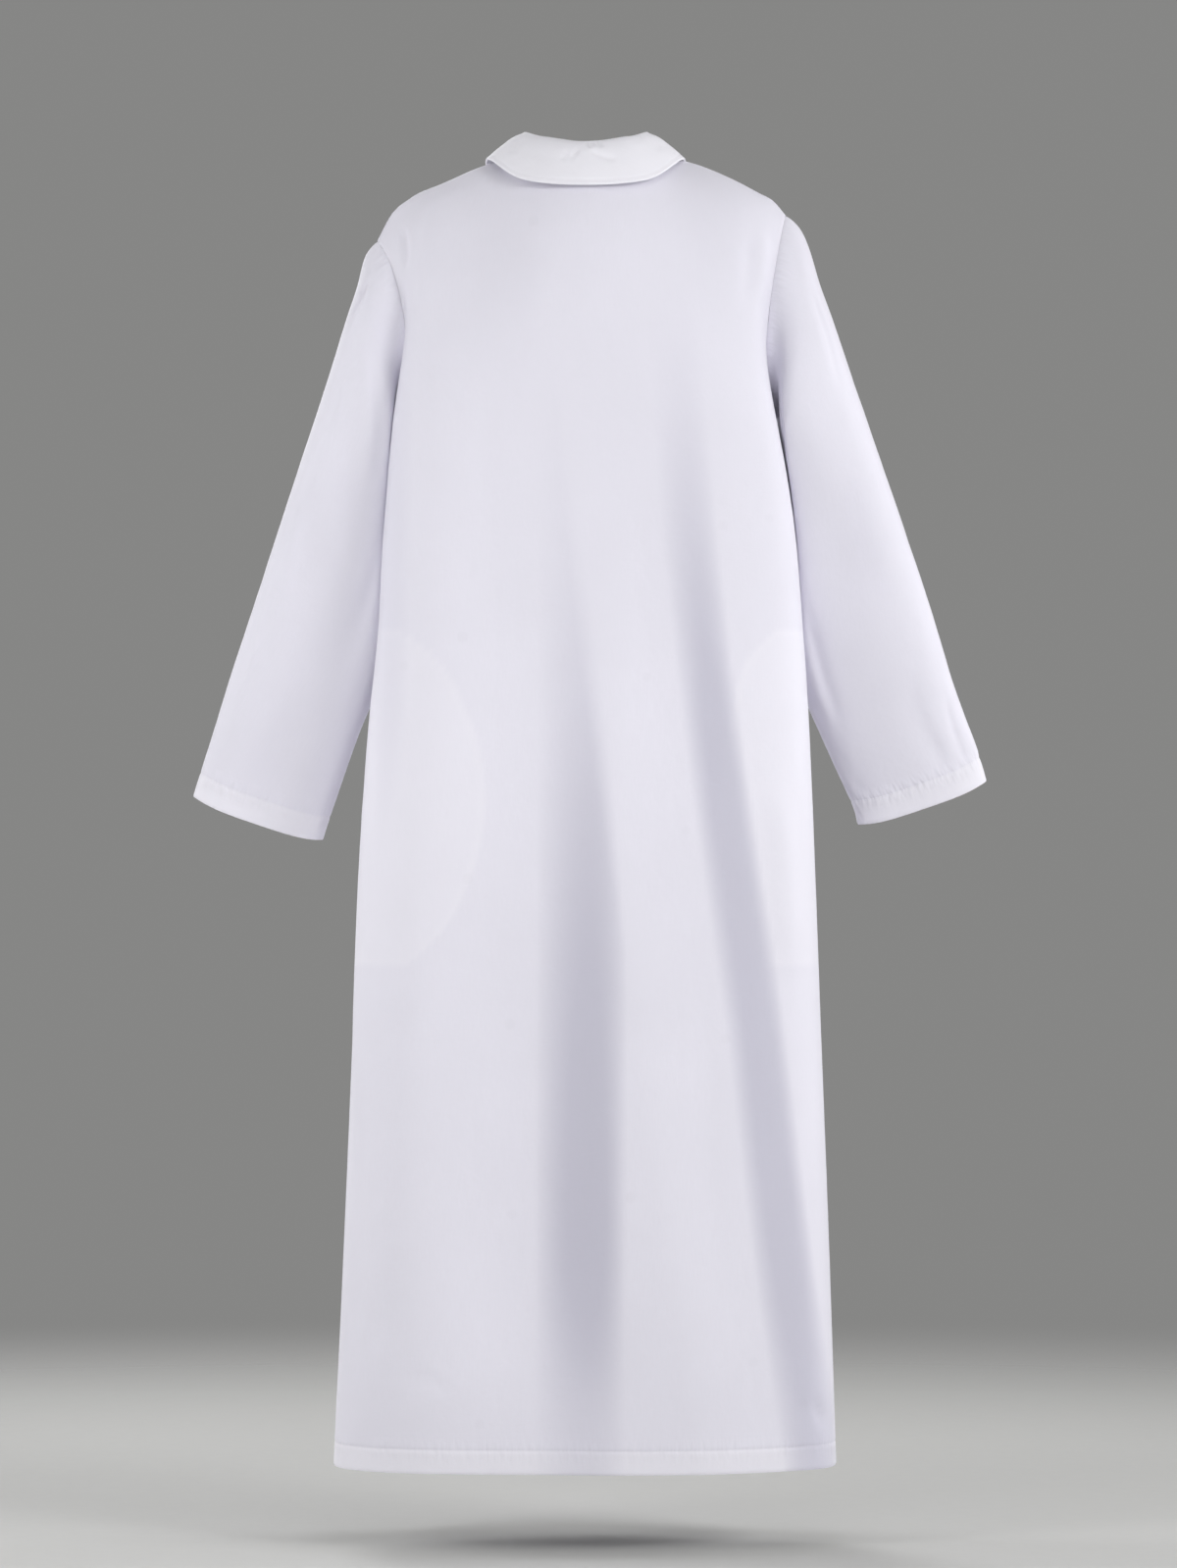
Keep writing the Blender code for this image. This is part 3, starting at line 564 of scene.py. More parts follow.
def stitch_groove(distance, depth=0.0005, width=0.0017):
    """How far a line of stitches draws the cloth in."""
    return -depth * bell(distance, width)


# ---------------------------------------------------------------- the two panels
SKIRT_STEP = 0.0076
YOKE_STEPS = 62
HALF_COLUMNS = 76
SLIT_SHARE = 0.003
# How often the yoke is evened out, across for its columns and down past the underarm row
ACROSS_PASSES = 90
DOWN_PASSES = 60
# Waves per metre across and down, and each wave's height
PANEL_WAVES = ((0, 9, 1.6, 0.0012), (3, 24, 7, 0.0005), (5, 70, 42, 0.00022))


def skirt_heights():
    """The heights of the rows up to the underarm, closer at the hem's edge and stitches."""
    edge = (0, 0.6, 1.4, 3, 6, 9, 12, 15, 18)
    stitched = (20.5, 22.4, 23.7, 24.5, 25.3, 26.6, 28.5, 32, 37, 43)
    low = HEM + np.array(edge + stitched) / 1000
    rest = np.linspace(low[-1], UNDERARM, round((UNDERARM - low[-1]) / SKIRT_STEP) + 1)
    return np.concatenate([low, rest[1:]])


def towards_one(count, last):
    """Even steps from 0 to 1 that end with the closer ones in last, given as gaps from 1."""
    even = np.linspace(0, 1, count + 1)
    return np.concatenate([even[even < 1 - 1.4 * last[0]], 1 - np.array(last)])


def panel_surface(panel):
    """The panel's plain outer surface, and each point's share of its half's angle."""
    heights = skirt_heights()
    steps = towards_one(YOKE_STEPS, (0.0105, 0.007, 0.004, 0.0018, 0))[1:]
    shares = towards_one(HALF_COLUMNS, (0.011, 0.0075, 0.0045, 0.002, 0))
    if panel == "front":
        shares[0] = SLIT_SHARE
    halves, spans = {}, {}
    for side in SIGN:
        rows = [section_row(panel, side, height, shares) for height in heights]
        skirt = np.array([points for points, _ in rows])
        across = rows[-1][1]
        yoke = [yoke_column(panel, side, a, p, steps) for a, p in zip(across, skirt[-1])]
        grid = np.concatenate([skirt, np.array(yoke).transpose(1, 0, 2)])
        inside = ease((1 - shares) / 0.10) * ease((shares - shares[0]) / 0.04 + 0.15)
        at = np.concatenate([np.zeros(len(heights)), steps])
        strength = np.sqrt((ease(at / 0.3) * ease((1 - at) / 0.12))[:, None] * inside)
        for _ in range(ACROSS_PASSES):
            even = (grid[:, :-2] + grid[:, 2:]) / 2
            grid[:, 1:-1] += (even - grid[:, 1:-1]) * 0.5 * strength[:, 1:-1, None]
        near = bell(np.arange(len(grid)) - len(heights), 12)
        strength = near[:, None] * ease((1 - shares) / 0.12)
        for _ in range(DOWN_PASSES):
            even = (grid[:-2] + grid[2:]) / 2
            grid[1:-1] += (even - grid[1:-1]) * 0.5 * strength[1:-1, :, None]
        halves[side] = grid
        spans[side] = np.array([a for _, a in rows] + [across] * len(steps))
    first = 0 if panel == "front" else 1
    grid = np.concatenate([halves["right"][:, ::-1], halves["left"][:, first:]], axis=1)
    span = np.concatenate([spans["right"][:, ::-1], spans["left"][:, first:]], axis=1)
    return grid, span, len(heights)


def bag_edge(x, z):
    """How far inside a pocket bag's free edge a point of the back is, in metres."""
    left = smooth(BAG, "height", "left", z)
    right = smooth(BAG, "height", "right", z)
    inside = np.abs(x) - np.where(x > 0, left, right)
    ends = np.minimum(z - BAG[0].height, BAG[-1].height - z)
    return np.minimum(inside, ends)


def make_panel(panel, material):
    grid, span, skirt_rows = panel_surface(panel)
    outward = outward_of(grid, upright_line(grid))
    x, z = grid[..., 0], grid[..., 2]
    across, down = run_of(grid, 1), run_of(grid, 0)
    across = across - across[:, [across.shape[1] // 2]]
    to_side = np.minimum(across - across[:, [0]], across[:, [-1]] - across)
    to_top = down[[-1]] - down
    to_seam = np.minimum(to_side, to_top)
    seed = 1.0 if panel == "back" else 11.0
    height = fold_height(panel, x, z) * ease((1 - span) / SEAM_EASE)
    height += crease_height(CREASES[panel], x, z) * ease(to_seam / 0.008)
    height += ripples(across, z, seed, PANEL_WAVES) * ease(to_seam / 0.03)
    height += seam_lip(to_side) + seam_lip(to_top)
    above_hem = z - HEM
    height += stitch_groove(above_hem - HEM_BAND)
    height += seam_lip(above_hem, 0.0006, 0.0010)
    grid = grid + outward * normals_of(grid) * height[..., None]
    out = outward * normals_of(grid)
    out[:skirt_rows, [0, -1], 1] = 0
    out[-1, span[-1] >= NECK_SHARE, 1] = 0
    out = unit(out)
    band = ease((HEM_BAND - above_hem) / 0.0016 + 0.5)
    wall = -out * (WALL + (BAND_WALL - WALL) * band)[..., None]
    uneven = 0.55 + 0.9 * np.clip(ripple(across, z, seed + 9, 22, 3), -0.4, 0.6)
    hem_pull = bell(above_hem - HEM_BAND, 0.010) * uneven
    seam_pull = bell(to_side, 0.009) + bell(to_top, 0.009)
    # Painted shade: where a big fold rises towards -X, away from the key light, this mask darkens the
    # cloth's colour in the material.
    step = 0.001
    rise = fold_height(panel, x - step, z) - fold_height(panel, x + step, z)
    rise *= ease((1 - span) / SEAM_EASE) / (2 * step)
    fold_shade_mask = np.clip(rise / 0.4, 0, 1)
    marks = {"double": band, "pucker": hem_pull + 0.5 * seam_pull, "hollow": fold_shade_mask}
    numbers = np.arange(x.size).reshape(x.shape)
    if panel == "back":
        inside = bag_edge(x, z)
        marks["bag"] = ease(inside / 0.004 + 0.5) + 0.5 * bell(inside - 0.005, 0.0035)
        quads = quads_of(numbers)
    else:
        middle = x.shape[1] // 2
        halves = [quads_of(numbers[:, :middle]), quads_of(numbers[:, middle:])]
        joined = np.flatnonzero(z[:, middle] < SLIT_LOW)
        halves.append(quads_of(numbers[: len(joined), middle - 1 : middle + 1]))
        quads = np.concatenate(halves)
    obj = shell(panel + "_cloth", grid, wall, facing(quads, outward), material, marks)
    return obj, grid, out


# ---------------------------------------------------------------- the sleeves
AROUND_IN_METRES = 0.06
SLEEVE_WAVES = ((0, 13, 4.5, 0.0022), (3, 34, 13, 0.0008), (5, 80, 50, 0.00022))
SLEEVE_PASSES = 14


def armhole_ring(side, turns):
    """The armhole seam, from the underarm up the back to the shoulder and down the front."""
    points = []
    for turn in turns:
        panel = "back" if turn <= math.pi else "front"
        up = turn / math.pi if panel == "back" else 2 - turn / math.pi
        start = section_row(panel, side, UNDERARM, np.array([1.0]))[0][0]
        points.append(yoke_column(panel, side, 1.0, start, [up])[0])
    return np.array(points)


def keep_off_body(side, points, clearance):
    """Moves a sleeve's points outwards to where they lie against the body's side."""
    level = np.clip(points[:, 2], HEM, UNDERARM)
    half, side_y, back, front = section_sizes(side, level)
    behind = points[:, 1] >= side_y
    power = np.where(behind, BACK_SQUARENESS, FRONT_SQUARENESS)
    share = np.clip(np.abs(points[:, 1] - side_y) / np.where(behind, back, front), 0, 1)
    limit = half * (1 - share**power) ** (1 / power) + clearance
    out = np.abs(points[:, 0])
    out = np.where(points[:, 2] < UNDERARM, np.maximum(out, limit), out)
    return np.stack([SIGN[side] * out, points[:, 1], points[:, 2]], axis=1)


def sleeve_stations():
    cap = np.array([0, 0.010, 0.024, 0.042, 0.066, 0.10])
    arm = np.arange(0.15, 5.92, 0.052)
    stitched = np.array([5.95, 5.975, 6.0, 6.03, 6.07, 6.13, 6.22])
    edge = np.array([6.34, 6.46, 6.58, 6.70, 6.82, 6.91, 6.96, 6.985, 7.0])
    return np.concatenate([cap, arm, stitched, edge])


def sleeve_surface(side, turns, stations):
    known = [armhole_ring(side, turns)]
    for ring in SLEEVES[side]:
        outer = np.array([SIGN[side] * ring.outer_x, ring.mid_y, ring.outer_z])
        inner = np.array([SIGN[side] * ring.inner_x, ring.mid_y, ring.inner_z])
        middle, reach = (outer + inner) / 2, (outer - inner) / 2
        depth = np.array([0, ring.half_depth, 0])
        power = 2 / np.where(turns <= math.pi, SLEEVE_BACK_SQUARENESS, 2.0)[:, None]
        along, out = np.cos(turns)[:, None], np.sin(turns)[:, None]
        along = np.sign(along) * np.abs(along) ** power
        out = np.sign(out) * np.abs(out) ** power
        points = middle - along * reach + out * depth
        points[:, 2] -= ring.dip * np.sin(turns) * np.abs(np.sin(turns))
        known.append(keep_off_body(side, points, SLEEVE_CLEARANCE))
    known = np.array(known)
    slopes = np.gradient(known, axis=0)
    slopes[0] += np.array(CAP_FLARE[side]) * np.array([SIGN[side], 1, 1])
    grid = []
    for station in stations:
        low = min(int(station), len(known) - 2)
        points = hermite(known, slopes, low, station - low)
        grid.append(keep_off_body(side, points, SLEEVE_CLEARANCE * min(1, station)))
    grid = np.array(grid)
    calm = ease((stations - 0.2) / 0.6) * ease((5.9 - stations) / 0.6)
    for _ in range(SLEEVE_PASSES):
        along = (grid[:-2] + grid[2:]) / 2 - grid[1:-1]
        grid[1:-1] += 0.5 * along * calm[1:-1, None, None]
        round_it = (grid[:, :-2] + grid[:, 2:]) / 2 - grid[:, 1:-1]
        grid[:, 1:-1] += 0.4 * round_it * calm[:, None, None]
    return grid


def make_sleeve(side, material):
    close = np.array([0, 0.016, 0.036, 0.066])
    even = np.linspace(0.11, 2 * math.pi - 0.11, 122)
    turns = np.concatenate([close, even, 2 * math.pi - close[::-1]])
    stations = sleeve_stations()
    grid = sleeve_surface(side, turns, stations)
    outward = outward_of(grid, grid.mean(axis=1, keepdims=True))
    down = run_of(grid, 0).mean(axis=1, keepdims=True) * np.ones(len(turns))
    across = turns * AROUND_IN_METRES * np.ones((len(stations), 1))
    round_run = run_of(grid, 1)
    to_seam = np.minimum(round_run, round_run[:, [-1]] - round_run)
    from_stitch = down - down[np.searchsorted(stations, CUFF_STATION)]
    to_edge = down[[-1]] - down
    seed = 31.0 if side == "left" else 47.0
    height = crease_height(CREASES[side], across, down)
    height += ripples(across, down, seed, SLEEVE_WAVES)
    height *= ease(to_seam / 0.012) * ease(down / 0.02)
    height *= 1 - 0.6 * ease(from_stitch / 0.01 + 1)
    height += seam_lip(to_seam) + seam_lip(down)
    height += stitch_groove(from_stitch) + seam_lip(to_edge, 0.0006, 0.0010)
    grid = grid + outward * normals_of(grid) * height[..., None]
    out = outward * normals_of(grid)
    band = ease(from_stitch / 0.0016 + 0.5)
    wall = -out * (WALL + (BAND_WALL - WALL) * band)[..., None]
    pull = bell(from_stitch, 0.009) + 0.6 * bell(down, 0.012) + 0.4 * bell(to_seam, 0.008)
    quads = facing(quads_of(np.arange(down.size).reshape(down.shape)), outward)
    marks = {"double": band, "pucker": pull}
    obj = shell(f"sleeve_{side}_cloth", grid, wall, quads, material, marks)
    row = np.searchsorted(stations, CUFF_STATION)
    return obj, grid[row], out[row]


# ---------------------------------------------------------------- the collar
def collar_point(angle, line):
    """A point of the collar's roll or leaf line, by degrees round the neck from the back."""
    side = "left" if angle >= 0 else "right"
    turn = abs(angle)
    at = min(turn, 180)
    x, y, z = smooth_xyz(COLLAR, "angle", line + "_", at)
    if turn > 180:
        x = y * math.sin(math.radians(turn - 180))
    return np.array([SIGN[side] * x, y, z])


def neck_point(angle):
    """A point of the neck seam by the same angle."""
    side = "left" if angle >= 0 else "right"
    turn = abs(angle)
    if turn <= 90:
        return neckline("back", side, turn / 90)
    point = neckline("front", side, (180 - min(turn, 180)) / 90)
    if turn > 180:
        point[0] = SIGN[side] * FRONT_NECK[0] * math.sin(math.radians(turn - 180))
    return point


def away(point):
    """The level direction from the neck's middle through the point."""
    flat = np.array([point[0], point[1], 0])
    return flat / np.linalg.norm(flat)


def stand_edges(angle):
    """The stand's outer points at its foot and its top. Its left end steps out to lap."""
    inset = LAP * (1 - ease((angle - LAP_STARTS) / LAP_EASE))
    foot = neck_point(angle) + np.array([0, 0, STAND_LIFT])
    top = collar_point(angle, "roll") - np.array([0, 0, STAND_DROP])
    return foot - away(foot) * inset, top - away(top) * (inset + 0.0012)


def finish_shell(name, grid, height, thickness, material):
    """Moves a collar piece's surface out by height and closes it as a shell."""
    outward = outward_of(grid, upright_line(grid))
    grid = grid + outward * normals_of(grid) * height[..., None]
    out = outward * normals_of(grid)
    quads = facing(quads_of(np.arange(height.size).reshape(height.shape)), outward)
    wall = -out * np.broadcast_to(thickness, height.shape)[..., None]
    return shell(name, grid, wall, quads, material), grid, out


def make_stand(material):
    last = 180 + STAND_OVERLAP
    shares = np.concatenate([[0, 0.02, 0.06], np.linspace(0.12, 0.88, 11), [0.94, 0.98, 1]])
    grid = []
    for angle in np.linspace(-last, last, 253):
        foot, top = stand_edges(angle)
        grid.append(foot + (top - foot) * shares[:, None])
    grid = np.array(grid).transpose(1, 0, 2)
    down = run_of(grid, 0)
    edge = np.minimum(down, down[[-1]] - down)
    height = stitch_groove(edge - 0.0022, 0.0003, 0.0010) + seam_lip(edge, 0.0006, 0.0007)
    return finish_shell("collar_stand_cloth", grid, height, COLLAR_WALL, material)


COLLAR_CREASES = (
    Crease(((-0.002, -0.001), (-0.004, 0.006), (-0.009, 0.012)), 0.0024, -0.0016, 0.0006),
    Crease(((-0.009, -0.001), (-0.011, 0.005), (-0.014, 0.009)), 0.0018, -0.0011, 0.0004),
    Crease(((-0.016, -0.001), (-0.019, 0.007), (-0.024, 0.012)), 0.0024, -0.0015, 0.0006),
    Crease(((-0.004, 0.013), (-0.018, 0.020), (-0.038, 0.029)), 0.0042, -0.0014, 0.0012),
    Crease(((0.006, 0.012), (0.014, 0.020), (0.018, 0.030)), 0.0034, -0.0010, 0.0006),
    Crease(((0.024, 0.014), (0.022, 0.022), (0.028, 0.031)), 0.0034, -0.0010, 0.0006),
    Crease(((0.092, 0.008), (0.098, 0.022), (0.094, 0.036)), 0.0060, -0.0010, 0.0),
    Crease(((-0.094, 0.006), (-0.100, 0.018), (-0.098, 0.034)), 0.0060, -0.0010, 0.0),
)
LEAF_RADIUS = 0.085
COLLAR_STITCH = 0.0052
LEAF_END_ROWS_FROM = 0.010


def make_fall(material):
    """The turned-down leaf, from inside the stand's top over the roll to its free edge."""
    angles = np.linspace(-LEAF_END, LEAF_END, 241)
    shares = np.concatenate([np.linspace(0, 0.95, 34), [0.965, 0.978, 0.988, 0.995, 1]])
    grid = []
    for angle in angles:
        roll, leaf = collar_point(angle, "roll"), collar_point(angle, "leaf")
        out, up = away(roll), np.array([0, 0, 1])
        way = leaf - roll
        knots = np.array(
            [
                roll - out * 0.0052 - up * 0.0065,
                roll - out * 0.0050 - up * 0.0026,
                roll - out * 0.0028 + up * 0.0002,
                roll - out * 0.0004 - up * 0.0010,
                roll + way * 0.14 + away(roll + way * 0.14) * 0.0020,
                roll + way * 0.50 + away(roll + way * 0.50) * 0.0030,
                leaf,
            ]
        )
        run = length_along(knots)
        at = shares * run[-1]
        table = [Knot(r, *k) for r, k in zip(run, knots)]
        grid.append(smooth_xyz(table, "run", "", at))
    grid = np.array(grid).transpose(1, 0, 2)
    down = run_of(grid, 0)
    across = np.radians(angles) * LEAF_RADIUS * np.ones((len(shares), 1))
    run = run_of(grid, 1)
    to_end = np.minimum(run, run[:, [-1]] - run)
    edge = np.minimum(down[[-1]] - down, to_end)
    height = crease_height(COLLAR_CREASES, across, down - 0.008)
    height += 0.0005 * ripple(across, down, 71.0, 26, 22) * ease(edge / 0.006)
    height += stitch_groove(edge - COLLAR_STITCH, 0.0004, 0.0012)
    height += seam_lip(edge, 0.0007, 0.0008)
    return finish_shell("collar_fall_cloth", grid, height, COLLAR_WALL, material)


# ---------------------------------------------------------------- placket, bags, buttons
def on_surface(grid, out, x, z):
    """The point and the outward direction of the front at this x and height."""
    line = np.array([read_at(x, row[:, 0], row) for row in grid])
    face = np.array([read_at(x, row[:, 0], turn) for row, turn in zip(grid, out)])
    return read_at(z, line[:, 2], line), unit(read_at(z, line[:, 2], face))


def make_placket(front_grid, front_out, material):
    heights = np.linspace(PLACKET_LOW, PLACKET_TOP, 110)
    half = PLACKET_WIDTH / 2
    places = half * np.array([-1, -0.97, -0.9, -0.8, -0.6, -0.3, 0, 0.3, 0.6, 0.8, 0.9, 0.97, 1])
    columns = [on_surface(front_grid, front_out, x, heights) for x in places]
    grid = np.array([points for points, _ in columns]).transpose(1, 0, 2)
    out = np.array([turns for _, turns in columns]).transpose(1, 0, 2)
    in_from = np.minimum(half - np.abs(places)[None, :], heights[:, None] - PLACKET_LOW)
    height = PLACKET_LIFT + seam_lip(in_from, 0.0006, 0.0008)
    height = height + stitch_groove(in_from - PLACKET_STITCH, 0.0003, 0.001)
    height = height + 0.0002 * ripple(grid[..., 0], grid[..., 2], 83.0, 60, 22)
    outer = grid + out * height[..., None]
    wall = -out * (height - 0.0004)[..., None]
    cells = quads_of(np.arange(height.size).reshape(height.shape))
    quads = facing(cells, np.sum(normals_of(outer) * out))
    marks = {"double": np.ones_like(height), "pucker": bell(in_from - 0.003, 0.004)}
    return shell("placket_cloth", outer, wall, quads, material, marks), outer, out


def make_bag(side, material):
    """A pocket's bag, shut flat against the inside of the back."""
    heights = np.linspace(BAG[0].height, BAG[-1].height, 70)
    rows, outs = [], []
    for height in heights:
        half = smooth(SECTIONS, "height", side, height)
        edge = min(smooth(BAG, "height", side, height), half * 0.98)
        free = math.asin((edge / half) ** (BACK_SQUARENESS / 2))
        seam = seam_angle(height)
        angles = np.linspace(seam - 0.02, free, 40)
        x, y = section_xy(side, height, angles)
        x_near, y_near = section_xy(side, height, angles - 0.01)
        out = unit(np.stack([y_near - y, x - x_near], axis=1))
        fold = fold_height("back", SIGN[side] * x, np.full_like(x, height))
        inset = fold * ease((1 - angles / seam) / SEAM_EASE) - BAG_INSIDE
        flat = np.stack([x, y], axis=1) + out * inset[:, None]
        level = np.full_like(x, height)
        rows.append(np.stack([SIGN[side] * flat[:, 0], flat[:, 1], level], axis=1))
        outs.append(np.stack([SIGN[side] * out[:, 0], out[:, 1], 0 * x], axis=1))
    grid, out = np.array(rows), np.array(outs)
    down, across = run_of(grid, 0), run_of(grid, 1)
    edge = np.minimum(np.minimum(down, down[[-1]] - down), across[:, [-1]] - across)
    puff = 0.0007 * ease(edge / 0.02) + 0.0003 * ripple(across, down, 91.0, 30, 20)
    puff += stitch_groove(edge - 0.008, 0.0004, 0.0012)
    wall = -out * (2 * BAG_WALL + np.clip(puff, 0, 1))[..., None]
    cells = quads_of(np.arange(puff.size).reshape(puff.shape))
    quads = facing(cells, np.sum(normals_of(grid) * out))
    outer = grid + out * (puff * 0.5)[..., None]
    return shell(f"pocket_bag_{side}_cloth", outer, wall, quads, material)


MOUTH = (-0.66, -0.50)
MOUTH_STITCH = 0.006
TACK_PLACES = np.linspace(0.0012, 0.0075, 6)
TACK_ROWS = (-0.0006, -0.0003, 0.0, 0.0003, 0.0006)
TACK_LIFT = 0.0001


def mouth_runs(grid, out):
    """The stitches beside the side seam along each pocket's mouth, and a tack at each end."""
    rows = np.flatnonzero((grid[:, 0, 2] > MOUTH[0]) & (grid[:, 0, 2] < MOUTH[1]))
    across = run_of(grid, 1)[rows].T
    grid, out = grid[rows].transpose(1, 0, 2), out[rows].transpose(1, 0, 2)
    runs = []
    for from_seam in (across, across[-1] - across):
        runs.append(stitch_run(*line_at(grid, out, from_seam, MOUTH_STITCH)))
        for end in (slice(0, 1), slice(-1, None)):
            ladder = [
                line_at(grid[:, end], out[:, end], from_seam[:, end], place)
                for place in TACK_PLACES
            ]
            points = np.array([line[0] for line, _ in ladder])
            turns = np.array([turn[0] for _, turn in ladder])
            for step in TACK_ROWS:
                runs.append(stitch_run(points + np.array([0, 0, step]), turns, TACK_LIFT))
    return runs


def frame_at(out):
    """A matrix of columns: level, up the cloth, and out, for things that lie on it."""
    level = unit(np.cross([0, 0, 1], out))
    return np.stack([level, np.cross(out, level), out], axis=1)


# Radius and height of each ring of a button, from the middle of its top over the rim to its underside
BUTTON_PROFILE = (
    (0.0000, 0.00045), (0.0026, 0.00045), (0.0033, 0.00060), (0.0040, 0.00100),
    (0.0048, 0.00110), (0.0053, 0.00085), (0.0055, 0.00030), (0.0054, -0.00040),
    (0.0048, -0.00100), (0.0000, -0.00110),
)
BUTTON_SIDES = 40
HOLE_RADIUS = 0.00068
HOLE_OFF = 0.00125
HOLE_SIDES = 14
HOLE_REACH = 0.003


def button_mesh(material):
    """A four-hole button, turned from its profile, with its holes cut through."""
    rings = [p for p in BUTTON_PROFILE if p[0] > 0]
    turns = circle(BUTTON_SIDES)
    points = [[r * math.cos(a), r * math.sin(a), z] for r, z in rings for a in turns]
    faces = [[b, a, d, c] for a, b, c, d in tube(len(rings), BUTTON_SIDES)]
    faces.append(list(range(BUTTON_SIDES)))
    faces.append(list(range(len(points) - 1, len(points) - BUTTON_SIDES - 1, -1)))
    body = new_object("button_body", points, faces, material)
    cut_points, cut_faces = [], []
    for dx, dy in ((1, 1), (1, -1), (-1, 1), (-1, -1)):
        base, sides = len(cut_points), HOLE_SIDES
        for z in (-HOLE_REACH, HOLE_REACH):
            for a in circle(sides):
                x = dx * HOLE_OFF + HOLE_RADIUS * math.cos(a)
                cut_points.append([x, dy * HOLE_OFF + HOLE_RADIUS * math.sin(a), z])
        cut_faces += tube(2, sides, base)
        cut_faces.append([base + i for i in reversed(range(sides))])
        cut_faces.append([base + sides + i for i in range(sides)])
    cutter = new_object("button_cutter", cut_points, cut_faces, material)
    cut = body.modifiers.new("holes", "BOOLEAN")
    cut.object = cutter
    cut.solver = "EXACT"
    cut.operation = "DIFFERENCE"
    graph = bpy.context.evaluated_depsgraph_get()
    mesh = bpy.data.meshes.new_from_object(body.evaluated_get(graph))
    bpy.data.objects.remove(body)
    bpy.data.objects.remove(cutter)
    return mesh


THREAD_SIDES = 5
# Share of the way along a thread, and the share of its radius there
THREAD_RINGS = ((0.0, 0.45), (0.18, 1.0), (0.82, 1.0), (1.0, 0.45))


def capsules(name, starts, ends, radius, material):
    """Many short round threads, each from a start to an end, joined in one mesh."""
    starts, ends = np.asarray(starts), np.asarray(ends)
    along = unit(ends - starts)
    helper = np.where(np.abs(along[:, [2]]) < 0.9, [[0.0, 0.0, 1.0]], [[1.0, 0.0, 0.0]])
    first = unit(np.cross(along, helper))
    second = np.cross(along, first)
    points = []
    for share, size in THREAD_RINGS:
        middle = starts + (ends - starts) * share
        for turn in circle(THREAD_SIDES):
            off = math.cos(turn) * first + math.sin(turn) * second
            points.append(middle + radius * size * off)
    points = np.array(points).transpose(1, 0, 2)
    sides, each = THREAD_SIDES, len(THREAD_RINGS) * THREAD_SIDES
    pattern = tube(len(THREAD_RINGS), sides)
    caps = [list(range(sides))[::-1], list(range(each - sides, each))]
    faces = []
    for number in range(len(starts)):
        base = number * each
        faces += [[base + c for c in face] for face in pattern + caps]
    return new_object(name, points.reshape(-1, 3), faces, material)


STITCH_PITCH = 0.0028
STITCH_LENGTH = 0.0020
THREAD_RADIUS = 0.00019


def stitch_run(points, outs, lift=0.00004):
    """Starts and ends of the stitches along a line of points on the cloth."""
    run = length_along(points)
    count = int(run[-1] / STITCH_PITCH)
    begin = np.arange(count) * STITCH_PITCH + 0.0004
    raised = points + outs * lift
    return read_at(begin, run, raised), read_at(begin + STITCH_LENGTH, run, raised)


def make_stitches(name, runs, material):
    starts = np.concatenate([start for start, _ in runs])
    ends = np.concatenate([end for _, end in runs])
    return capsules(name, starts, ends, THREAD_RADIUS, material)


def line_at(grid, out, values, at):
    """The line across a grid where values, which grow down its columns, pass at."""
    points, turns = [], []
    for column in range(grid.shape[1]):
        order = np.argsort(values[:, column])
        keys = values[order, column]
        points.append(read_at(at, keys, grid[order, column]))
        turns.append(read_at(at, keys, out[order, column]))
    return np.array(points), unit(np.array(turns))


# ---------------------------------------------------------------- materials
class Nodes:
    """Small helper that adds nodes to a material and links them."""

    def __init__(self, name):
        self.material = bpy.data.materials.new(name)
        self.material.use_nodes = True
        self.tree = self.material.node_tree
        self.shader = self.tree.nodes["Principled BSDF"]

    def add(self, kind, inputs=None, **settings):
        node = self.tree.nodes.new(kind)
        for key, value in settings.items():
            setattr(node, key, value)
        for key, value in (inputs or {}).items():
            if isinstance(value, bpy.types.NodeSocket):
                self.tree.links.new(value, node.inputs[key])
            else:
                node.inputs[key].default_value = value
        return node

    def math(self, operation, a, b=0.0):
        return self.add("ShaderNodeMath", {0: a, 1: b}, operation=operation).outputs[0]

    def mix(self, factor, a, b):
        return self.add("ShaderNodeMix", {0: factor, 6: a, 7: b}, data_type="RGBA").outputs[2]

    def noise(self, vector, scale, detail=2.0, rough=0.5):
        return self.add(
            "ShaderNodeTexNoise",
            {"Vector": vector, "Scale": scale, "Detail": detail, "Roughness": rough},
        ).outputs[0]

    def stretched(self, place, scale):
        return self.add("ShaderNodeMapping", {0: place, 3: scale}).outputs[0]

    def bump(self, height, strength, distance, under=None):
        inputs = {"Strength": strength, "Distance": distance, "Height": height}
        if under is not None:
            inputs["Normal"] = under
        return self.add("ShaderNodeBump", inputs).outputs[0]

    def span(self, value, low, high, to_low, to_high, soft=True):
        return self.add(
            "ShaderNodeMapRange",
            {0: value, 1: low, 2: high, 3: to_low, 4: to_high},
            interpolation_type="SMOOTHSTEP" if soft else "LINEAR",
        ).outputs[0]

    def set(self, name, value):
        if isinstance(value, bpy.types.NodeSocket):
            self.tree.links.new(value, self.shader.inputs[name])
        else:
            self.shader.inputs[name].default_value = value


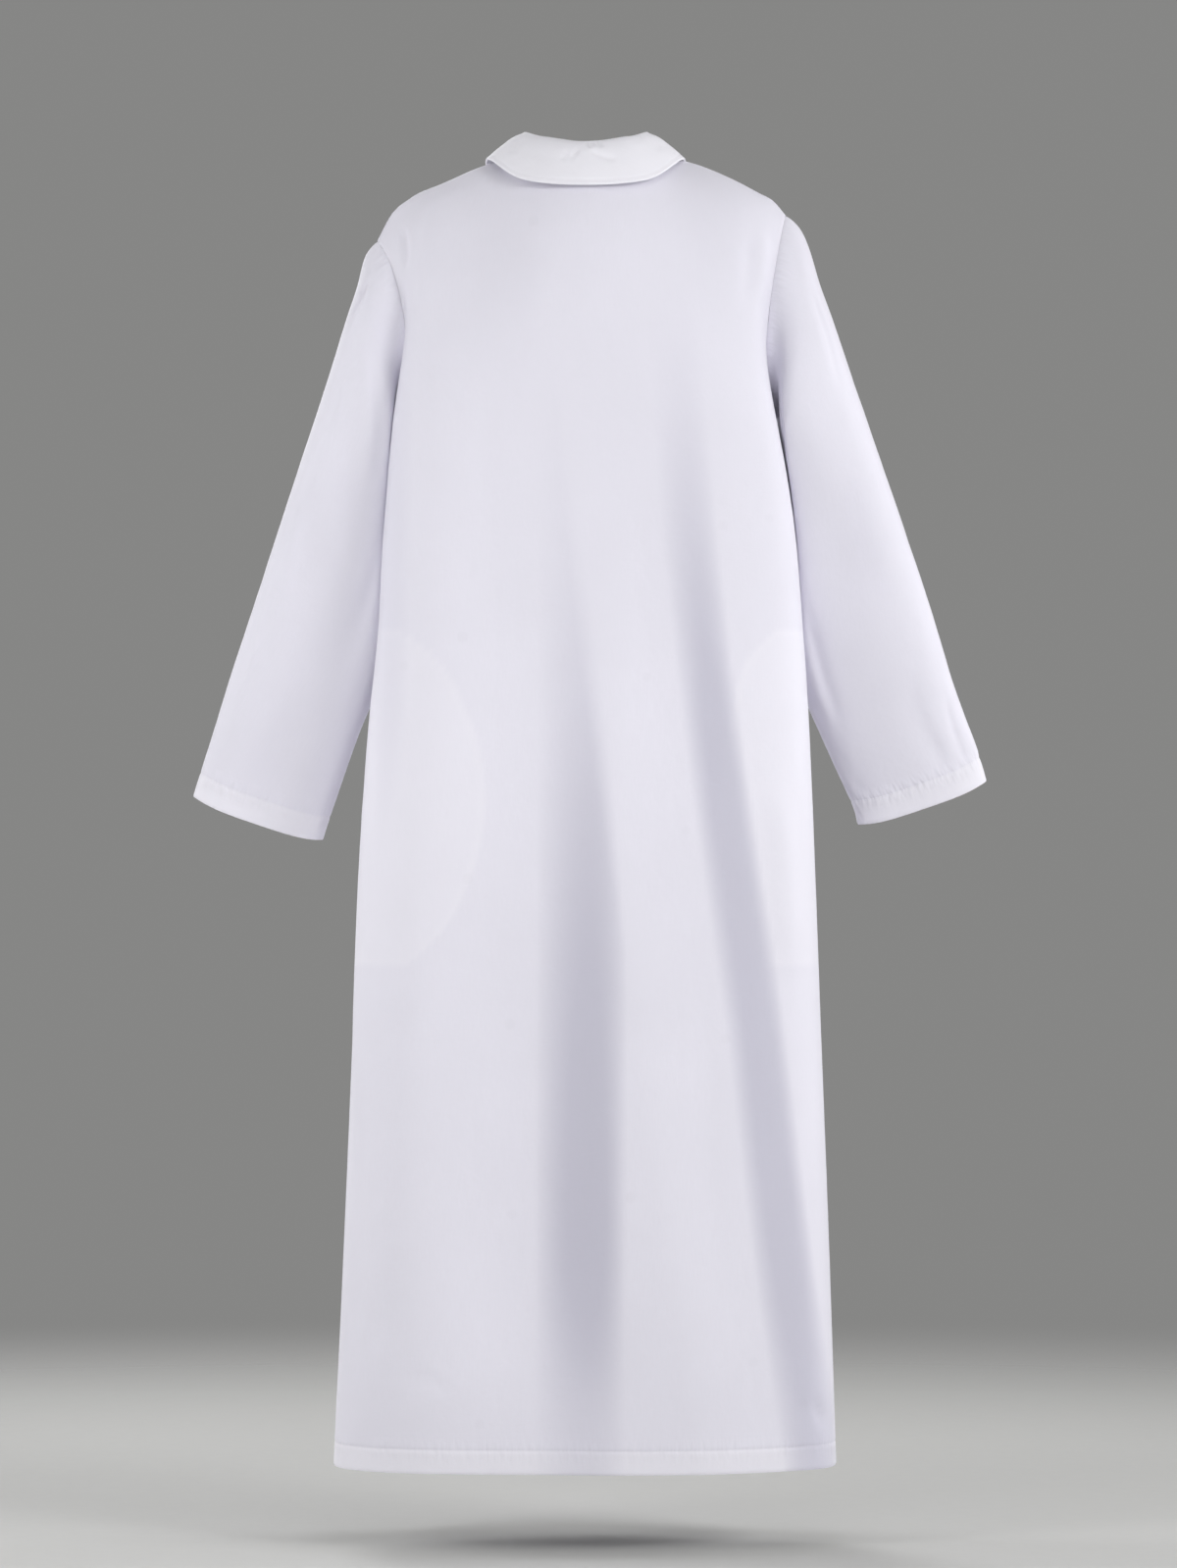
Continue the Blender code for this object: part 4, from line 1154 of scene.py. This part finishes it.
# Faint round marks on the back: x, height and radius in metres, and how much each darkens
Spot = namedtuple("Spot", "x z radius strength")
SPOTS = (
    Spot(0.054, -0.064, 0.0060, 0.035),
    Spot(-0.142, -0.381, 0.0055, 0.030),
    Spot(-0.191, -0.373, 0.0050, 0.030),
    Spot(0.127, -0.497, 0.0060, 0.035),
    Spot(0.188, -0.526, 0.0055, 0.030),
    Spot(-0.064, -0.538, 0.0050, 0.030),
    Spot(0.122, -0.747, 0.0060, 0.035),
    Spot(-0.104, -0.697, 0.0050, 0.030),
    Spot(0.078, -0.898, 0.0060, 0.035),
    Spot(-0.145, -0.913, 0.0055, 0.030),
    Spot(-0.046, -1.076, 0.0060, 0.035),
    Spot(0.076, -1.095, 0.0055, 0.030),
    Spot(0.110, -1.310, 0.0055, 0.030),
    Spot(-0.174, -1.248, 0.0055, 0.030),
    Spot(-0.226, -1.292, 0.0055, 0.030),
)
THREADS_PER_METRE = 2100
CLOTH = (0.80, 0.785, 0.87)
# The collar's shirting is lighter than the body's: partly for its doubled cloth, and partly painted
# light that makes up for the lamp light its tilted leaf misses.
COLLAR_CLOTH_DOUBLED_AND_PAINTED_LIGHT = (0.88, 0.87, 0.93)
POCKET_CLOTH = (0.80, 0.79, 0.85)
# How strongly a pocket bag shows through the cloth; then the painted shade on a big fold's flank that
# turns away from the key light: its strength, and its tone as shares of the cloth's colour
BAG_SHOWS = 0.42
FOLD_SHADE_STRENGTH = 0.80
FOLD_SHADE_TONE = (0.72, 0.72, 0.77)
# Doubled cloth is lighter by these shares, up to these values
DOUBLED = (1.075, 1.075, 1.045)
DOUBLED_MOST = (0.9, 0.9, 0.94)


def cloth_material(name, colour, weave=1.0, spots=False):
    """White shirting: plain weave, faint unevenness, needle puckers, doubled areas and painted shade
    on the big folds' flanks.
    """
    n = Nodes(name)
    place = n.add("ShaderNodeTexCoord").outputs["Object"]
    cloth = n.add("ShaderNodeUVMap", uv_map="cloth").outputs[0]
    marks = {
        mark: n.add("ShaderNodeAttribute", attribute_name=mark).outputs["Fac"]
        for mark in MARKS
    }
    split = n.add("ShaderNodeSeparateXYZ", {0: cloth})
    turn = THREADS_PER_METRE * math.pi
    warp = n.math("SINE", n.math("MULTIPLY", split.outputs[0], turn))
    weft = n.math("SINE", n.math("MULTIPLY", split.outputs[1], turn))
    weave_height = n.math("MULTIPLY", warp, weft)
    slub_height = n.noise(n.stretched(cloth, (900.0, 55.0, 1.0)), 1.0, 2.0)
    slub_across = n.noise(n.stretched(cloth, (45.0, 1100.0, 1.0)), 1.0, 2.0)
    pucker_noise = n.noise(n.stretched(cloth, (150.0, 42.0, 1.0)), 1.0, 1.5)
    crumple = n.noise(place, 26.0, 4.0, 0.6)
    cloudy = n.noise(place, 5.0, 3.0)
    duller, dullest = ((*[c * share for c in colour], 1) for share in (0.972, 0.955))
    base = n.mix(n.span(cloudy, 0.35, 0.65, 0.0, 1.0), (*colour, 1), duller)
    base = n.mix(n.span(slub_height, 0.3, 0.7, 0.0, 0.35), base, dullest)
    behind_it = n.math("MULTIPLY", marks["bag"], BAG_SHOWS)
    thicker = n.math("MINIMUM", n.math("ADD", marks["double"], behind_it), 1.5)
    lift = [min(c * share, most) for c, share, most in zip(colour, DOUBLED, DOUBLED_MOST)]
    base = n.mix(n.math("MULTIPLY", thicker, 0.65), base, (*lift, 1))
    # Painted shade on the big folds' flanks, put into the cloth's colour.
    painted_shade = n.math("MULTIPLY", marks["hollow"], FOLD_SHADE_STRENGTH)
    base = n.mix(painted_shade, base, (*[c * share for c, share in zip(colour, FOLD_SHADE_TONE)], 1))
    if spots:
        total = None
        where = n.add("ShaderNodeSeparateXYZ", {0: place})
        behind = n.math("GREATER_THAN", where.outputs[1], 0.0)
        for spot in SPOTS:
            dx = n.math("SUBTRACT", where.outputs[0], spot.x)
            dz = n.math("SUBTRACT", where.outputs[2], spot.z)
            squares = n.math("ADD", n.math("MULTIPLY", dx, dx), n.math("MULTIPLY", dz, dz))
            far = n.math("SQRT", squares)
            dark = n.span(far, spot.radius * 0.55, spot.radius * 1.25, spot.strength, 0.0)
            total = dark if total is None else n.math("ADD", total, dark)
        total = n.math("MULTIPLY", total, behind)
        base = n.mix(total, base, (0.30, 0.29, 0.31, 1))
    n.set("Base Color", base)
    n.set("Roughness", n.span(crumple, 0.3, 0.7, 0.74, 0.86, soft=False))
    n.set("Sheen Weight", 0.18)
    n.set("Sheen Roughness", 0.45)
    n.set("Specular IOR Level", 0.28)
    slubs = n.math("ADD", slub_height, slub_across)
    fine = n.math("ADD", n.math("MULTIPLY", weave_height, 0.5 * weave), slubs)
    bump = n.bump(fine, 0.35, 0.00012)
    bump = n.bump(crumple, 0.5, 0.0012, bump)
    pulled = n.math("MULTIPLY", pucker_noise, marks["pucker"])
    n.set("Normal", n.bump(pulled, 0.8, 0.0026, bump))
    return n.material


def thread_material():
    n = Nodes("white_thread")
    place = n.add("ShaderNodeTexCoord").outputs["Object"]
    twist = n.noise(place, 2600.0, 2.0)
    n.set("Base Color", n.mix(twist, (0.86, 0.85, 0.90, 1), (0.76, 0.75, 0.81, 1)))
    n.set("Roughness", n.span(twist, 0.2, 0.8, 0.45, 0.65, soft=False))
    n.set("Normal", n.bump(twist, 0.4, 0.0001))
    n.set("Sheen Weight", 0.2)
    return n.material


def button_material():
    n = Nodes("button_plastic_look")
    place = n.add("ShaderNodeTexCoord").outputs["Object"]
    swirl = n.noise(n.stretched(place, (1.0, 1.0, 2.2)), 240.0, 3.0)
    n.set("Base Color", n.mix(swirl, (0.84, 0.84, 0.86, 1), (0.74, 0.74, 0.78, 1)))
    n.set("Roughness", n.span(swirl, 0.2, 0.8, 0.22, 0.36, soft=False))
    fine = n.noise(place, 1800.0, 2.0)
    n.set("Normal", n.bump(fine, 0.15, 0.00005))
    n.set("Coat Weight", 0.15)
    return n.material


def floor_material():
    """The pale ground, which fades out with distance so that it meets the plain surround."""
    n = Nodes("pale_floor")
    place = n.add("ShaderNodeTexCoord").outputs["Object"]
    grain = n.noise(place, 60.0, 3.0)
    n.set("Base Color", n.mix(grain, (*FLOOR, 1), (*[c * 0.97 for c in FLOOR], 1)))
    n.set("Roughness", n.span(grain, 0.2, 0.8, 0.85, 0.95, soft=False))
    n.set("Normal", n.bump(grain, 0.1, 0.001))
    level = {0: place, 1: (1.0, 1.0, 0.0)}
    flat = n.add("ShaderNodeVectorMath", level, operation="MULTIPLY").outputs[0]
    far = n.add("ShaderNodeVectorMath", {0: flat}, operation="LENGTH").outputs["Value"]
    n.set("Alpha", n.span(far, 1.2, 3.4, 1.0, 0.0))
    return n.material


# ---------------------------------------------------------------- floor, light and camera
CENTRE = (-0.003, 0.0, -0.649)
FLOOR_HEIGHT = -1.445
FLOOR_REACH = 3.6
FLOOR_RINGS = 24
FLOOR_SIDES = 96
FLOOR = (0.52, 0.52, 0.51)
SURROUND = (0.24, 0.24, 0.236)
CAMERA_FAR = 8.0
FRAME_HEIGHT = 1.647


def make_floor():
    points = [[0.0, 0.0, FLOOR_HEIGHT]]
    for ring in range(1, FLOOR_RINGS + 1):
        r = FLOOR_REACH * ring / FLOOR_RINGS
        points += [[r * math.cos(a), r * math.sin(a), FLOOR_HEIGHT] for a in circle(FLOOR_SIDES)]
    faces = [[0, 1 + i, 1 + (i + 1) % FLOOR_SIDES] for i in range(FLOOR_SIDES)]
    faces += [[a, d, c, b] for a, b, c, d in tube(FLOOR_RINGS, FLOOR_SIDES, 1)]
    new_object("ground", points, faces, floor_material())


Light = namedtuple("Light", "name place aim size power")
BODY_MIDDLE = (0.0, 0.0, -0.6)
LIGHTS = (
    Light("key", (-4.2, 4.5, 1.8), BODY_MIDDLE, 2.2, 147),
    Light("left", (4.4, 4.4, 1.2), BODY_MIDDLE, 2.4, 30),
    Light("near_left", (1.15, 1.10, -0.50), (0.30, 0.0, -0.45), 0.6, 8.6),
    Light("near_right", (-1.60, 0.80, -0.40), (-0.36, 0.0, -0.40), 0.6, 8.6),
    Light("above", (-0.15, 1.5, 1.2), (0.0, 0.05, -0.05), 0.9, 5.0),
    Light("side_right", (-4.2, -1.4, 0.6), BODY_MIDDLE, 2.0, 50),
    Light("side_left", (4.2, -1.4, 0.6), BODY_MIDDLE, 2.0, 60),
    Light("front", (1.6, -4.8, 1.6), BODY_MIDDLE, 2.6, 130),
)


def make_light():
    world = bpy.data.worlds.new("surround")
    world.use_nodes = True
    back = world.node_tree.nodes["Background"]
    back.inputs["Color"].default_value = (*SURROUND, 1)
    back.inputs["Strength"].default_value = 1.0
    bpy.context.scene.world = world
    for light in LIGHTS:
        data = bpy.data.lights.new(light.name, "AREA")
        data.shape = "DISK"
        data.size = light.size
        data.energy = light.power
        obj = bpy.data.objects.new(light.name, data)
        obj.location = light.place
        obj.visible_camera = False
        towards_aim = Vector(light.aim) - Vector(light.place)
        obj.rotation_euler = towards_aim.to_track_quat("-Z", "Y").to_euler()
        bpy.context.scene.collection.objects.link(obj)


def make_camera():
    data = bpy.data.cameras.new("camera")
    data.sensor_fit = "AUTO"
    data.sensor_width = 36.0
    data.lens = 36.0 * CAMERA_FAR / FRAME_HEIGHT
    data.clip_end = 100
    obj = bpy.data.objects.new("camera", data)
    obj.location = (CENTRE[0], CAMERA_FAR, CENTRE[2])
    obj.rotation_euler = (math.pi / 2, 0.0, math.pi)
    bpy.context.scene.collection.objects.link(obj)
    bpy.context.scene.camera = obj
    bpy.context.scene.view_settings.view_transform = "Standard"


# ---------------------------------------------------------------- putting it together
def sewing():
    """The threads of one button, from its own middle: two bars on top, four down its holes."""
    threads = []
    for dy in (-1, 1):
        y = dy * HOLE_OFF
        for lift, spread in ((0.00062, -0.00012), (0.00078, 0.00012)):
            threads.append(((-HOLE_OFF, y + spread, lift), (HOLE_OFF, y - spread, lift)))
        for dx in (-1, 1):
            for off in (-0.0002, 0.0002):
                x, y_off = dx * HOLE_OFF, y + off
                threads.append(((x, y_off, 0.0007), (x, y_off, -0.0019)))
    return threads


def buttonhole():
    """The stitches of one buttonhole: along both lips of its slit, and a bar at each end."""
    stitches = []
    for y in np.arange(-0.0072, 0.00721, 0.00048):
        for x in (-1, 1):
            stitches.append(((x * 0.00025, y, 0.00018), (x * 0.00165, y, 0.00010)))
    for y in (-0.0076, 0.0076):
        for x in np.arange(-0.0018, 0.00181, 0.0005):
            stitches.append(((x, y - 0.0007, 0.00018), (x, y + 0.0007, 0.00018)))
    return stitches


BUTTON_GAP = 0.0006
SEWING = sewing()
SEWING_RADIUS = 0.00022
BUTTONHOLE = buttonhole()
BUTTONHOLE_RADIUS = 0.00020


def place_buttons(front_grid, front_out, material, thread):
    mesh = button_mesh(material)
    spots = []
    foot, top = stand_edges(180)
    up = unit(top - foot)
    spots.append(((foot + top) / 2, np.array([0.0, -up[2], up[1]])))
    for height in BUTTON_HEIGHTS:
        point, out = on_surface(front_grid, front_out, 0.0, np.array([height]))
        spots.append((point[0] + out[0] * PLACKET_LIFT, out[0]))
    buttons, starts, ends, holes = [], [], [], []
    for number, (place, out) in enumerate(spots, 1):
        matrix = frame_at(out)
        middle = place + out * (BUTTON_THICKNESS / 2 + BUTTON_GAP)
        obj = bpy.data.objects.new(f"button_{number}_detail", mesh.copy())
        points = np.empty(len(mesh.vertices) * 3)
        mesh.vertices.foreach_get("co", points)
        placed = points.reshape(-1, 3) @ matrix.T + middle
        obj.data.vertices.foreach_set("co", placed.ravel())
        obj.data.update()
        obj.data.shade_smooth()
        obj.data.set_sharp_from_angle(angle=math.radians(40))
        bpy.context.scene.collection.objects.link(obj)
        buttons.append(obj)
        for a, b in SEWING:
            starts.append(middle + matrix @ np.array(a))
            ends.append(middle + matrix @ np.array(b))
        if number > 1:
            holes.append((place, matrix))
    sewn = capsules("button_thread", starts, ends, SEWING_RADIUS, thread)
    return buttons, sewn, holes


def buttonhole_stitches(holes, material):
    """A worked buttonhole round each button: close small stitches on both sides of a slit."""
    starts, ends = [], []
    for place, matrix in holes:
        for a, b in BUTTONHOLE:
            starts.append(place + matrix @ np.array(a))
            ends.append(place + matrix @ np.array(b))
    return capsules("buttonhole_stitches", starts, ends, BUTTONHOLE_RADIUS, material)


def finish_piece(piece, replaced=()):
    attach(piece, ROOT)
    if replaced:
        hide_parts(*replaced)


def main():
    cloth = cloth_material("white_shirting", CLOTH, spots=True)
    # The collar's cloth is lighter than the body's, partly as painted light.
    collar_cloth_doubled_and_painted_light = cloth_material("collar_shirting_doubled_and_painted_light", COLLAR_CLOTH_DOUBLED_AND_PAINTED_LIGHT)
    lining = cloth_material("pocketing", POCKET_CLOTH, weave=1.4)
    thread, plastic = thread_material(), button_material()

    back, back_grid, back_out = make_panel("back", cloth)
    front, front_grid, front_out = make_panel("front", cloth)
    hem_lines = []
    for grid, out in ((back_grid, back_out), (front_grid, front_out)):
        hem_lines.append(line_at(grid[:60], out[:60], grid[:60, :, 2], HEM + HEM_BAND))
    middle = front_grid.shape[1] // 2
    sewn = [stitch_run(*hem_lines[0])]
    for part in (slice(None, middle), slice(middle, None)):
        sewn.append(stitch_run(hem_lines[1][0][part], hem_lines[1][1][part]))

    sleeves = {}
    for side in SIGN:
        obj, line, out = make_sleeve(side, cloth)
        sleeves[side] = obj
        sewn.append(stitch_run(line, out))
    stand, _, _ = make_stand(collar_cloth_doubled_and_painted_light)
    fall, fall_grid, fall_out = make_fall(collar_cloth_doubled_and_painted_light)
    down = run_of(fall_grid, 0)
    edge_line = line_at(fall_grid, fall_out, down - down[[-1]], -COLLAR_STITCH)
    keep = slice(3, -3)
    sewn.append(stitch_run(edge_line[0][keep], edge_line[1][keep]))
    for column in (2, -3):
        inside = down[:, column] < down[-1, column] - COLLAR_STITCH
        rows = np.flatnonzero(inside & (down[:, column] > LEAF_END_ROWS_FROM))
        sewn.append(stitch_run(fall_grid[rows, column], fall_out[rows, column]))
    strip, strip_grid, strip_out = make_placket(front_grid, front_out, cloth)
    for column in (3, -4):
        sewn.append(stitch_run(strip_grid[6:, column], strip_out[6:, column]))
    sewn.append(stitch_run(strip_grid[6, keep], strip_out[6, keep]))
    sewn += mouth_runs(back_grid, back_out) + mouth_runs(front_grid, front_out)
    stitches = make_stitches("seam_stitches", sewn, thread)
    buttons, button_thread, holes = place_buttons(front_grid, front_out, plastic, thread)
    hole_stitches = buttonhole_stitches(holes, thread)
    bags = {side: make_bag(side, lining) for side in SIGN}

    finish_piece(back, ["back_panel"])
    finish_piece(front, ["front_panel"])
    for side in SIGN:
        finish_piece(sleeves[side], ["sleeve_" + side])
        finish_piece(bags[side], ["pocket_bag_" + side])
    finish_piece(stand, ["collar_stand"])
    finish_piece(fall, ["collar_fall"])
    finish_piece(strip, ["placket"])
    finish_piece(stitches)
    finish_piece(hole_stitches)
    finish_piece(button_thread)
    for number, button in enumerate(buttons, 1):
        finish_piece(button, [f"button_{number}"])


main()
make_floor()
make_light()
make_camera()
